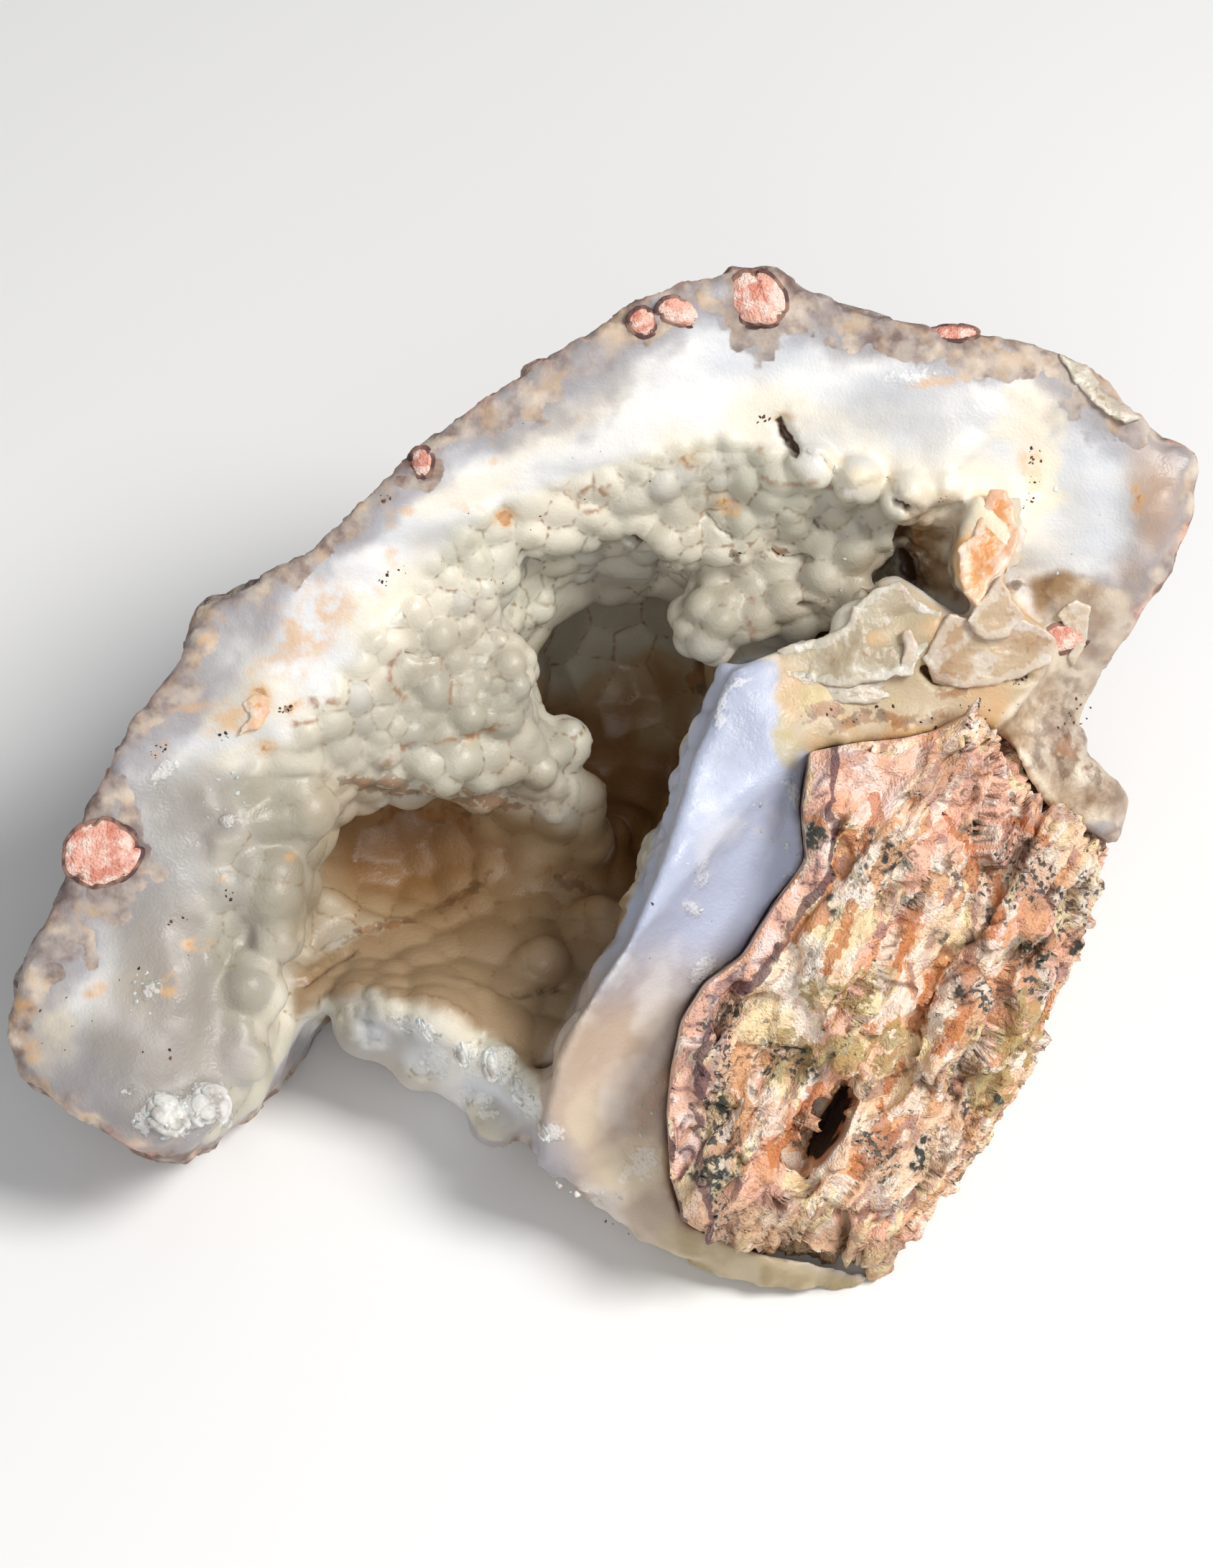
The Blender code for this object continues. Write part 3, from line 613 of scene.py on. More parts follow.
class Canvas:
    """A piece to carve and paint, by places in the face frame as seen from the camera."""

    def __init__(self, piece):
        self.piece = piece
        self.points = face_points(piece)
        self.normals = face_normals(piece)
        share = EYE[2] / (EYE[2] - self.points[:, 2])
        self.seen = self.points[:, :2] * share[:, None]
        self.ragged = np.column_stack([hills(self.points, 2.2, seed) for seed in (31, 32)])
        self.skin = BVHTree.FromPolygons(
            [Vector(place) for place in self.points],
            [tuple(face.vertices) for face in piece.data.polygons],
        )

    def touch(self, u, v):
        """Where the line of sight through (u, v) meets the skin, and the normal there."""
        way = Vector((u, v, 0.0)) - Vector(EYE)
        place, normal, _, _ = self.skin.ray_cast(Vector(EYE), way.normalized())
        return (place, normal) if place else (Vector((u, v, 0.0)), Vector((0.0, 0.0, 1.0)))

    def dabs(self, strokes, depth=4.0, rag=0.35, blur=0):
        """Ellipses (u, v, half-width, half-height, turn in degrees, strength)."""
        mask = np.zeros(len(self.points))
        for stroke in strokes:
            u, v, wide, high, turn, strength = (*stroke, *STROKE_DEFAULTS[len(stroke) - 4:])
            level = self.touch(u, v)[0].z
            angle = math.radians(turn)
            away = self.seen - (u, v) + self.ragged * rag * min(wide, high)
            along = away @ (math.cos(angle), math.sin(angle)) / wide
            across = away @ (-math.sin(angle), math.cos(angle)) / high
            deep = (self.points[:, 2] - level) / (depth + max(wide, high))
            reach = np.sqrt(along ** 2 + across ** 2 + deep ** 2)
            mask = np.maximum(mask, strength * (1.0 - ease(reach, *STROKE_EDGE)))
        return blurred(self.piece, mask, blur)

    def lines(self, strokes, depth=3.0, rag=0.4):
        """Lines (half-width, strength, list of (u, v))."""
        mask = np.zeros(len(self.points))
        for width, strength, path in strokes:
            for start, end in zip(path[:-1], path[1:]):
                level = self.touch((start[0] + end[0]) / 2.0, (start[1] + end[1]) / 2.0)[0].z
                gap = path_gap(self.seen + self.ragged * rag * width, [start, end]) / width
                deep = (self.points[:, 2] - level) / (depth + width)
                reach = np.sqrt(gap ** 2 + deep ** 4)
                mask = np.maximum(mask, strength * (1.0 - ease(reach, *STROKE_EDGE)))
        return mask

    def zone(self, edge, rag=0.2, deepest=-24.0, blur=2):
        """1 inside an outline, on the front of the stone, with a soft ragged edge."""
        found = inside(self.seen + self.ragged * rag, edge)
        front = (self.points[:, 2] > deepest) & (self.normals[:, 2] > ZONE_STEEPEST)
        return blurred(self.piece, (found & front).astype(float), blur)


def keep(piece, masks):
    """Store masks on a piece, for its material to read."""
    for name, mask in masks.items():
        made = piece.data.attributes.new(name, "FLOAT", "POINT")
        made.data.foreach_set("value", np.clip(mask, 0.0, 1.0))


canvas = Canvas(wall)
print("skin at the middle of the slab", [round(value, 1) for value in canvas.touch(10, -8)[0]])

# %% Lips and cracks
LIP_LINE = [
    (18.6, 33.6), (21.6, 32.8), (22.8, 31.2), (24.5, 29.6), (27, 30.5), (28.6, 30.2), (29.5, 28),
    (31.6, 27.2), (33.8, 28.4), (34.6, 30.8),
]
LIP_TOP = [(38, 34), (30, 40), (18, 38)]
LIP_RISE = 0.8              # mm
LIP_DEEPEST = -12.0         # mm
CRACKS = [
    (0.4, 1, [(2.6, 24.2), (3.6, 23.4), (5, 22.2), (6.2, 21.5)]),
    (0.3, 0.6, [(5.1, 22), (5.2, 20.4), (3.6, 18.6)]),
    (0.5, 1, [(17.2, 36), (17.7, 34.8), (18.7, 33.2)]),
    (0.25, 0.6, [(-20, 13), (-18.6, 12.6), (-17, 12.7)]),
    (0.75, 1, [(29.8, 25.8), (29.5, 23), (29.9, 20.6)]),
    (0.4, 0.9, [(28.8, 28.2), (30.2, 27.2)]),
    (0.22, 0.6, [(10, 26.9), (11.4, 25.4), (12.7, 24.2)]),
    (0.26, 0.7, [(16.4, 23.6), (17.4, 22.6), (18.8, 22.7), (20.2, 22.4)]),
    (0.3, 0.7, [(20.6, 26.2), (21.2, 25.2)]),
    (0.3, 0.7, [(19.4, 17.7), (20.6, 17.4)]),
    (0.8, 1, [(20.4, 14.6), (22.8, 14.5)]),
    (0.7, 0.9, [(26, 20), (26.4, 19)]),
    (0.7, 1, [(35.2, 18.2), (36.2, 17.2)]),
    (0.6, 1, [(31.8, 11.2), (33.2, 10.2), (34.2, 10.8)]),
    (0.45, 0.9, [(41, 10.2), (42.2, 10.4)]),
    (0.5, 0.9, [(-6.6, -27.6), (-5.2, -27.2)]),
    (0.35, 0.6, [(-30.2, -20), (-27, -17.6), (-25.4, -16.6)]),
    (0.35, 0.6, [(-9, -20.8), (-7, -20.8), (-4.4, -20.2)]),
]
CRACK_DEPTH = 1.3           # mm

over_lip = inside(canvas.seen, LIP_LINE + LIP_TOP)
lip = over_lip * (1.0 - ease(path_gap(canvas.seen, LIP_LINE), 1.0, 6.0))
lip *= (canvas.points[:, 2] > LIP_DEEPEST) & (canvas.normals[:, 2] > 0.0)
cracks = canvas.lines(CRACKS)
points = canvas.points + (0.0, 0.0, 1.0) * (LIP_RISE * lip)[:, None]
points -= canvas.normals * (CRACK_DEPTH * cracks)[:, None]
set_face_points(wall, points)
canvas = Canvas(wall)
print(len(CRACKS), "cracks")

# %% [markdown]
# ## What is painted where
#
# Iron left ochre stains on the rim and brown ones deep in the hollow. The brown marks under the
# shelf and at the feet of the crust plates are partly dirt and partly painted shade. Fresh breaks
# are frosted with tiny crystals. Parts of the wall are clearer and so look grey, others are cream.
# Each is a mask.

# %% Stains and frost
OCHRE = [
    (-10.2, 26.6, 1.6, 1, -4), (-13.2, 27.4, 2.4, 0.5, -12, 0.7), (-27, 17, 3, 2.2, 40, 0.62),
    (-34.9, 8.2, 1.7, 1.7), (-37, 6.6, 3, 1.6, 20, 0.72), (-40.5, 7.8, 3.6, 0.5, 12, 0.62),
    (-34, 3.8, 1.5, 0.8, 10, 0.95), (-30.8, 7.7, 1.3, 0.7, 45), (-29.5, 15.5, 6.5, 3.2, 46, 0.75),
    (-33.5, 12.2, 3.2, 1, 30, 0.6), (-19.8, 27, 1, 0.5, 0, 0.7), (-21.6, 26.2, 0.5, 1.3, 10, 0.8),
    (-11.2, 32.2, 0.6, 0.5, 40, 0.6), (-28.5, 13.6, 2, 1.2, 60, 0.5),
    (-21.3, 22.5, 0.8, 1.2, 0, 0.6), (-24, 19, 2, 0.8, 10, 0.55), (8.5, 32.8, 1.4, 1.2, 20, 0.6),
    (12, 27.6, 1.5, 1, 0, 0.8), (-3.4, 28.8, 0.7, 0.5, 0, 0.9), (42, 31, 1.2, 3, 0, 0.6),
    (-31.4, -7.2, 0.7, 0.6, 30, 0.8), (-38, -9.4, 0.7, 0.4, 20, 0.9),
    (-40.8, -15.8, 1.8, 0.8, 0, 0.9), (-43.4, -20, 0.8, 1.8, -20, 0.8),
    (-50.8, -20.6, 1.5, 0.8, 30, 0.9), (-58.3, -23, 1.2, 2.2, 0, 0.8), (-57, -26.5, 1, 1.4, 0, 0.6),
    (29.9, 13.6, 0.7, 1.8, 8), (-13.4, 4.3, 0.7, 0.6), (52.8, 28.2, 0.9, 1.6),
    (34, 28.6, 1, 0.8, 0, 0.8), (32.8, 40, 3, 0.6, 10, 0.7), (-39.8, 14.4, 1, 0.6, 0, 0.8),
    (17.6, 36.4, 1.4, 0.6, 0, 0.6), (36.5, 10, 3, 1.2, 20, 0.5), (-44.4, 3.4, 1.2, 0.6, 35, 0.7),
    (-2, 36.6, 1, 0.5, 0, 0.35),
]
# Brown marks; those under the shelf and at the feet of the crust plates are partly painted shade.
BROWN_DIRT_AND_SHADE = [
    (21.5, 7.2, 2.2, 0.8, 15), (24.5, 6.2, 2.6, 0.9, 10, 0.8), (28.5, 6.6, 2.4, 0.8, -5, 0.9),
    (32.5, 6.8, 2.2, 0.7, 10, 0.6), (34.5, 9.4, 2.4, 0.6, 15, 0.8), (38.5, 10.8, 1.8, 0.7, 20, 0.8),
    (39.4, 12.4, 0.8, 0.4, 20), (38.5, 14.3, 0.6, 0.5, 10), (17.2, 23, 1.6, 0.7, 20, 0.8),
    (12.8, 22.8, 0.6, 0.6, 0, 0.9), (11.6, 28, 0.8, 0.6, 0, 0.6), (28, 21, 2.2, 1.4, 50, 0.5),
    (30.8, 24, 0.8, 2.6, 0, 0.8), (31, 20.4, 1, 1, 0, 0.9), (24.8, 15.4, 1.2, 0.8, 40, 0.8),
    (41, 2.6, 3.4, 0.8, 20, 0.8), (45.5, 3.6, 2, 1, -20, 0.7), (48.5, 1.2, 1.8, 1.2, -50, 0.6),
    (40.6, 19.8, 1.2, 0.5, 10, 0.8), (-31.9, 7.4, 0.6, 0.45, 20), (9.4, 10.6, 1, 3, 10, 0.8),
    (-22, -0.2, 6, 0.9, -4, 0.75), (-12.5, -1.8, 5.5, 1, -6, 0.7), (-17, -3, 7, 1.4, -6, 0.45),
    (-3.6, -9.6, 2.6, 0.8, -20, 0.6), (-14, -10.6, 3.6, 0.7, 35, 0.6),
    (-22, -14.2, 4, 0.5, 15, 0.7),
]
EARTH = [
    (45.5, 4, 5, 4, -20), (41, 3, 4, 2, 20), (49.5, -1, 3, 3, -40, 0.8),
    (40, 19.6, 2.2, 0.8, 10, 0.7), (46.4, 10, 1.4, 3, 0, 0.7), (31, 22.5, 2, 4, 0, 0.8),
]
FROST = [
    (-11.5, -28, 3.6, 1.8, -18), (-19, -24, 2.4, 0.7, -25, 0.9), (-16.8, -27.6, 1, 1.6, 20),
    (-8, -31.6, 1.8, 1, -40, 0.9), (-13, -31, 2, 1, -30, 0.8), (-12, -33, 1.2, 0.5, 0, 0.6),
    (-5.4, -34.6, 1.2, 0.7, 20, 0.8), (21.5, 10.6, 3.6, 0.5, -6), (26.3, 9.8, 1.4, 0.7, 30, 0.9),
    (9.4, -9, 1.2, 1.8, 20, 0.5), (8.6, -12.6, 0.6, 1.4, 50, 0.6), (-43, -33, 3.4, 1.9),
    (-39.3, -32.2, 2.6, 2.2), (-2.9, -23, 0.6, 0.5), (3.5, -38, 2.6, 1.6, 30, 0.6),
    (9.4, -18.4, 0.9, 1.4, -20, 0.8), (-44, 1.4, 1.6, 0.8, 50, 0.9),
    (-37.6, -3.6, 0.7, 0.5, 0, 0.9), (-47.4, -30.6, 1, 0.5, 20, 0.5),
    (-45, -20.6, 1.2, 1.6, -30, 0.6), (30.2, 40.4, 3, 0.8, 10, 0.4), (2.6, 8.8, 0.2, 0.2, 0, 0.3),
    (-3, -41, 3, 0.6, -10, 0.6), (11.5, 7.5, 0.5, 2.6, -10, 0.6), (13, 10, 2, 0.5, 30, 0.5),
    (18.5, -1, 0.8, 1.6, 20, 0.6),
]
STAIN_LINES = [
    (0.22, 0.8, [
        (-2.9, 28.6), (-2, 29.5), (-0.6, 29.3), (0, 28.2), (-0.6, 27.2), (-1.8, 26.9), (-2.8, 27.8),
    ]),
    (0.25, 0.8, [(0, 28.2), (0.3, 29.8), (1.2, 31), (1.6, 30.2)]),
    (0.25, 0.7, [(7.2, 33), (8.2, 31.6), (9.6, 31), (9.4, 29.6)]),
    (0.25, 0.7, [(-20.6, 13.2), (-21.6, 11.6), (-21.4, 9.8), (-20, 8.4)]),
    (0.22, 0.6, [(-16.6, 12.4), (-15.4, 10.6), (-15.6, 8.2)]),
    (0.3, 0.7, [(-22, 1.6), (-20.4, 3.6), (-16, 4.4), (-13.8, 4.6), (-9.6, 6)]),
    (0.25, 0.6, [(15.2, 33.4), (15.4, 30.4), (17.2, 29.8), (20.4, 29.8), (23.4, 29.4)]),
    (0.22, 0.6, [(18.8, 33), (18.6, 30.8)]),
    (0.28, 0.7, [(14.6, 18.6), (14.2, 16.6), (14.6, 14)]),
    (0.25, 0.6, [(25.6, 22), (26.4, 23.8), (26.2, 25)]),
    (0.25, 0.8, [(-31.2, 6), (-29, 6.2), (-28, 7.4), (-29.6, 8.4), (-26, 8)]),
]
print(len(OCHRE) + len(BROWN_DIRT_AND_SHADE) + len(EARTH) + len(FROST), "stains and frosted patches")

# %% Zones of the wall
SLAB_EDGE = [
    (17, 12.4), (11.2, 12), (9, 6.8), (6.9, 1.8), (5.5, -3.4), (3.7, -8.8), (0.7, -15.6),
    (-2.6, -20.4), (-5.3, -25), (-6.5, -30), (-7.2, -35), (-7, -41), (4, -48), (14, -48), (16, -32),
    (18, -24), (24, -17), (26, -6), (20, 3), (18.5, 8),
]
CRUST_EDGE = [
    (17, 5), (17.2, 13), (20, 14.3), (22.9, 13.6), (24.6, 17.6), (27.5, 20.2), (29.8, 20.2),
    (32.5, 18), (34, 16.7), (36.4, 17), (39.3, 21.2), (41.8, 16.9), (44.9, 15), (44, 11), (40, 7.5),
    (38, 2), (28, 2), (20, 3),
]
FLAP_EDGE = [
    (36.8, 29.4), (39.4, 29.3), (41, 25.4), (40.9, 22.4), (38.4, 21), (36.4, 17.4), (34.6, 20.7),
    (35, 24.3), (36.2, 26),
]
RIGHT_EDGE = [
    (42, 20), (46, 21), (52, 19.5), (53.6, 15), (49.6, 7.5), (54, 0), (54, -4), (44, -4), (38, 4),
    (44, 12),
]
RECESS_EDGE = [
    (29.5, 27.5), (35.5, 27.5), (35, 24.3), (34.6, 20.7), (36.4, 17), (30, 20.5), (29.3, 24),
]
SMOKY = [
    (-38, 12, 6, 6, 40, 0.45), (30, 37, 10, 3, 5, 0.3), (56, 30, 4, 8, 0, 0.4), (-41, -3, 5, 7, 10),
    (-45, -12, 6, 9, 20), (-40, -20, 8, 8), (-46, -30, 10, 6, -20), (-36, -8, 5, 9, 0, 0.9),
    (-16, 25, 4, 1.4, 20, 0.4), (-22, 5, 8, 4, 20, 0.4), (-24, -25, 5, 5, 0, 0.8),
]
BLUE = [
    (47, 28, 5.5, 6.5, 0, 0.9), (30, 40, 9, 2.2, 8, 0.7), (-40, 14, 4, 3, 50, 0.8),
    (-46, -9, 2, 8, 15, 0.5), (35, 34.5, 8, 3, 10, 0.5), (-12, 34.5, 5, 1.6, 35, 0.8),
    (14, 42, 6, 2, 0, 0.6), (-20, -26, 6, 2.6, -28, 0.9), (-10, -32, 5, 2.4, -40, 0.8),
    (-24, 26.5, 5, 1.4, 45, 0.7),
]
CREAM_ZONES = [
    (42.5, 36, 3.5, 3.5, 0, 0.8), (43, 30, 2.4, 5, -10, 0.9), (26, 30.2, 3.4, 1.4, -5),
    (31.6, 28.3, 3, 1.4), (22.6, 32, 1.2, 1.6, 30, 0.9), (-22, 17, 5, 3, 45, 0.6),
    (-14, 29, 6, 1.4, 20, 0.5), (-36, 8, 5, 3, 20, 0.6), (-46, -20, 2.2, 3.2, -20),
    (16, 30, 5, 3, 0, 0.4), (-56, -25, 3, 4, 0, 0.9), (3, -38, 4, 3, 20, 0.9),
    (-2, -33, 2, 4, 0, 0.5), (-4, 36, 10, 2, 30, 0.4),
]
BROWN_LUMPS = [(56, 27, 4, 6), (54, 33, 3, 2.4, -40, 0.8), (53, 20, 3, 4, 0, 0.7)]
SHADED = [
    (-20, -31, 9, 4, -30), (-8, -37, 6, 4, -20), (-14, 9, 9, 9, 0, 0.8), (14, 18, 9, 5, 0, 0.9),
    (24, 23, 8, 6, 0, 0.6), (10, 27, 5, 3, 0, 0.7), (13, 6, 3, 6, -10, 0.9), (-32, -7, 5, 11),
    (29, 27, 6, 4, 0, 0.5), (-24, 4, 7, 4, 0, 0.5), (-7, 4, 5, 6, 0, 0.7), (-38, -24, 6, 9, 0, 0.8),
    (4, 24, 8, 3, 0, 0.4), (-44, -22, 8, 10, 20, 0.6), (-12, -36, 9, 4, -20, 0.8),
    (-27, -26, 4, 4, 0, 0.4),
]
DIM_RECESS = [
    (-23, -6, 9.5, 5.5, 8), (-14.5, -4.5, 8, 3.6, -10), (-5.5, -8, 4.5, 3.5, -20),
    (-30, -12, 3.4, 6, -20), (-29.5, -18.5, 3, 3, 0, 0.9), (-1, -14, 3, 4, 0, 0.8),
    (26, 20.5, 3.6, 2, 30, 0.7), (-27, -2, 5, 3, 10, 0.6), (-8, 0, 3.6, 2.4, -20, 0.5),
]
OLIVE_STAINS = [(21, 8.4, 4, 1.4), (18, 4, 1.4, 3, 20, 0.7), (27, 8.6, 3, 1, 0, 0.6)]
RIND_CORNERS = [
    (15, 47, 6, 3, -12), (4, 45.4, 5, 1.8, 35, 0.9), (30, 44, 8, 2.2, -6, 0.9),
    (40, 42.4, 6, 2.4, -6, 0.9), (47.5, 39, 3, 5, 35), (-18.5, 32, 3.4, 2.6, 40),
    (-7.5, 38, 4, 1.8, 35), (-30, 22.6, 4, 1.8, 40, 0.9), (-40, 15.8, 2.4, 2.4, 0, 0.9),
    (-46, 7.5, 3, 2, 50), (-47.3, -1.8, 1.8, 3.6, 10), (-48.5, -8.5, 4, 4.6),
    (-53, -15, 2.4, 3.2, -30), (-56.5, -19, 2.8, 1.6, 20), (47, 15, 3.4, 3.8, 0, 0.5),
    (52, 36, 3, 2, -40, 0.9),
]
print(len(RIND_CORNERS), "corners of rind")

# %% Paint the masks of the wall
EDGE_REACH = 16.0           # mm, the distance from the outside that "edge" shows as 1
FACET_SLOPE = 0.28          # of the broken facets at the foot of the stone

points, seen = canvas.points, canvas.seen
wander = 1.0 + 0.45 * hills(points, 9.0, 41, 2)
low_down = 20.0 + 5.0 * hills(points, 6.0, 43, 3) - points[:, 1]
keep(wall, {
    "lining": lining,
    "crease": crease,
    "dome_tone": dome_tone,
    "dome_ring": dome_ring,
    "edge": np.maximum(edge_gap * wander - 0.4, 0.0) / EDGE_REACH,
    "outside": outside,
    "rind": canvas.dabs(RIND_CORNERS, rag=0.8),
    # Deeper in the hollow the lining is painted greyer, which is painted shade.
    "deep": lining * ease(-points[:, 2], 13.0, 38.0),
    # Low and deep in the hollow the lining is painted brown: partly a stain, partly painted shade.
    "brown_and_shade": lining * ease(-points[:, 2], 13.0, 30.0) * ease(low_down, 0.0, 15.0),
    "ochre": canvas.dabs(OCHRE),
    "stain_lines": canvas.lines(STAIN_LINES),
    # Brown marks: partly dirt, partly painted shade.
    "dirt_and_shade": canvas.dabs(BROWN_DIRT_AND_SHADE, rag=0.8),
    "earth": canvas.dabs(EARTH, rag=0.6),
    "cracks": cracks,
    "frost": canvas.dabs(FROST, rag=0.6),
    "slab": ease(blurred(wall, canvas.zone(SLAB_EDGE), 10), 0.25, 0.60),
    "beige": ease(2.0 * hills(points, 9.0, 42) - seen[:, 1], 12.0, 27.0),
    "crust": canvas.zone(CRUST_EDGE),
    "olive": canvas.dabs(OLIVE_STAINS),
    "flap": canvas.zone(FLAP_EDGE, 0.15, -12.0, 1),
    "tan": np.maximum(canvas.zone(RIGHT_EDGE, 0.5, -18.0), canvas.zone(RECESS_EDGE, 0.1, -40.0)),
    "ledge": canvas.zone(LEDGE_EDGE, 0.3, -40.0),
    "smoky": canvas.dabs(SMOKY, depth=12.0, blur=8),
    "blue": canvas.dabs(BLUE, depth=8.0, blur=6),
    "cream": canvas.dabs(CREAM_ZONES, depth=6.0),
    "brown": canvas.dabs(BROWN_LUMPS, depth=8.0, blur=6),
    "dim": canvas.dabs(DIM_RECESS, depth=14.0, rag=0.5, blur=4),
    "shaded": canvas.dabs(SHADED, depth=14.0, blur=6),
    "facet": ease(-seen[:, 1] - FACET_SLOPE * seen[:, 0], 41.0, 43.0) * (seen[:, 0] > 5.0),
})
print(len(wall.data.attributes), "attributes on the wall")

# %% [markdown]
# The dense skin has served its purpose. Decimate merges faces on the back and the outside, which no
# one studies closely, while a vertex group keeps the front as fine as it was sculpted. The masks
# travel with the points.

# %% Thin the back
WALL_TRIANGLES = 192000
BACK_GROUP = "outside"
FRONT_DEPTH = -24.0         # mm

group = wall.vertex_groups.new(name=BACK_GROUP)
front = ((canvas.points[:, 2] > FRONT_DEPTH) & (outside < 0.9)) | (lining > 0.3)
group.add(np.flatnonzero(~front).tolist(), 1.0, "REPLACE")
print(triangles(wall), "triangles,", round(float(front.mean()), 2), "of the points on the front")
apply_modifier(
    wall, "DECIMATE", ratio=WALL_TRIANGLES / triangles(wall), vertex_group=BACK_GROUP,
    vertex_group_factor=10.0,
)
wall.vertex_groups.clear()


def rest_on_floor(piece):
    """Nothing reaches below the flat underside."""
    places = moved(face_points(piece), FACE_TO_WORLD)
    places[:, 2] = np.maximum(places[:, 2], 0.0)
    set_own_points(piece, places)


rest_on_floor(wall)
wall.data.shade_smooth()
print("wall", triangles(wall), "triangles")

# %% [markdown]
# ## The host rock
#
# Rhyolite is a lava that flowed and froze in thin bands. Broken across, it splits into plates and
# slivers that all run the same way, with steps between them. The CAD solid gives the chunk its
# outline. Three sets of long, narrow cells, from large to small, then lift, sink and tip each
# sliver, which is quicker and more even than placing hundreds of wedges by hand. The copy is
# swollen a little towards the wall, so that it closes the seam.

# %% Copy and refine the rock
ROCK_VOXEL = 0.36           # mm

rock = copy_of_solid("rhyolite_matrix", "rhyolite_chunk", ROCK_VOXEL)
set_face_points(rock, smoothed(rock, face_points(rock), 1.0, 6))
print("rock", len(rock.data.vertices), "points")

# %% Where the rock meets the wall
TOWARDS_WALL = (-0.75, 0.5, 0.0)
CONTACT = [
    (20, 3.4), (19.2, -2.5), (19.6, -7.5), (16.4, -12), (13.4, -17), (9.6, -19.8), (7.2, -23.6),
    (6.2, -28.6), (5.8, -33), (6.2, -39.3), (7.6, -43.8),
]
PINK_EDGE = [
    (20.4, 3), (23.6, 3.6), (29.4, 3), (31.4, 4.6), (31, 1.4), (29, -1), (28.6, -3.4), (25.8, -4.2),
    (22.6, -2.4), (20.6, -1.4),
]
CREAM_EDGE = [
    (17, -13.6), (21, -9.6), (25.6, -8.6), (28.2, -12.4), (26, -16.6), (23.4, -20.4), (21, -25.4),
    (17, -27.4), (13.6, -26), (14.2, -20.6), (15.4, -17),
]

rock_canvas = Canvas(rock)
points, normals = rock_canvas.points, calm_normals(rock, rock_canvas.normals, 5)
contact_gap = path_gap(rock_canvas.seen, CONTACT) + 0.4 * hills(points, 3.0, 51)
contact_side = ease((normals * TOWARDS_WALL).sum(axis=1), 0.25, 0.6)
vein = (1.0 - ease(contact_gap, 2.4, 3.2)) * (1.0 - contact_side)
pink = rock_canvas.zone(PINK_EDGE, 0.3)
cream = rock_canvas.zone(CREAM_EDGE, 0.4)
print("vein", round(float(vein.mean()), 2), "of the rock")

# %% Split the rock into slivers
PLATE_RUN = math.radians(60.0)
PLATE_LIFT = (1.5, 0.75, 0.30)      # mm, for large, middle and small cells
PLATE_TIP = (1.9, 0.9, 0.45)
PLATE_BEND = 1.1                    # mm that the plates wander from straight
GAP_WIDTH, GAP_DEPTH = 0.06, 0.45
SEAM_OVERLAP = 0.5                  # mm that the rock swells into the wall

turned = points @ np.array([
    [math.cos(PLATE_RUN), -math.sin(PLATE_RUN), 0.0],
    [math.sin(PLATE_RUN), math.cos(PLATE_RUN), 0.0],
    [0.0, 0.0, 1.0],
])
turned += np.column_stack([hills(points, 8.0, seed, 2) for seed in (52, 53, 54)]) * PLATE_BEND
large = cells(turned, (12.0, 4.0, 5.0), 61)
middle = cells(turned, (6.4, 1.8, 2.4), 62)
small = cells(turned, (2.8, 0.85, 1.2), 64)
height = 0.25 * hills(points, 1.4, 63)
gaps = np.zeros(len(points))
for (near, following, offset, own), lift, tip in zip((large, middle, small), PLATE_LIFT, PLATE_TIP):
    height += lift * own[:, 0] + tip * (offset[:, 0] * own[:, 1] + offset[:, 1] * own[:, 2])
    gaps = np.maximum(gaps, np.exp(-(following - near) / GAP_WIDTH) * (0.5 + lift / 3.0))
gaps = np.minimum(gaps, 1.0)
height -= GAP_DEPTH * gaps

# %% Calm the vein and close the seam
segments = cells(points, (3.4, 3.4, 3.4), 65)
vein_cracks = np.exp(-(segments[1] - segments[0]) / 0.07)
vein_height = 0.25 * segments[3][:, 0] - 0.35 * vein_cracks
calm_here = np.maximum(pink * 0.65, cream * 0.55)
loose = (1.0 - contact_side) * (1.0 - vein) * (1.0 - calm_here)
rough_height = height * loose + vein_height * vein * (1.0 - contact_side)
points = points + normals * (rough_height - 0.25)[:, None]
points[:, :2] += np.array(TOWARDS_WALL[:2]) * (SEAM_OVERLAP * contact_side)[:, None]
set_face_points(rock, smoothed(rock, points, 0.25, 1))
rest_on_floor(rock)
print("slivers", len(np.unique(large[3][:, 0])), "large,", len(np.unique(small[3][:, 0])), "small")

# %% Stains and minerals in the rock
DARK_PATCHES = [
    (28.8, -7.5, 1.5, 1.5), (26.2, -5.2, 1.2, 1, 0, 0.9), (42.4, -16.6, 1.9, 2),
    (46.7, -16.4, 1.1, 1.1), (12.2, -23.4, 1.2, 1.6), (11.2, -31, 0.9, 2.8, 20),
    (11, -38.4, 2.2, 2.6), (9, -38.4, 1.2, 1.2, 0, 0.8), (31, -37, 1.4, 2.2),
    (36.5, -4.6, 1.6, 0.9, -40, 0.9), (35.2, -20.5, 0.9, 2, 0, 0.9), (22.4, -12, 1, 1.8, 20, 0.8),
    (36.5, -24.5, 0.9, 1.2, 0, 0.8), (21, -5.4, 1.8, 1.2, -60), (25.4, -8.6, 1, 1.4, 0, 0.9),
    (34.8, -28.2, 1.1, 0.6, 0, 0.8), (39, -31.5, 0.8, 0.6, 0, 0.9), (22.4, -8.4, 0.7, 1.4, 20, 0.9),
    (30.4, -11.8, 0.8, 1.4, 60, 0.8), (33, -15.5, 1.2, 1.6, 0, 0.7), (14.6, -30, 0.8, 1.6, 20, 0.7),
    (26, -30.6, 0.7, 1.8, 30, 0.7), (38, -13, 0.8, 1.6, 40, 0.6), (13, -35, 0.8, 1.4, 20, 0.8),
]
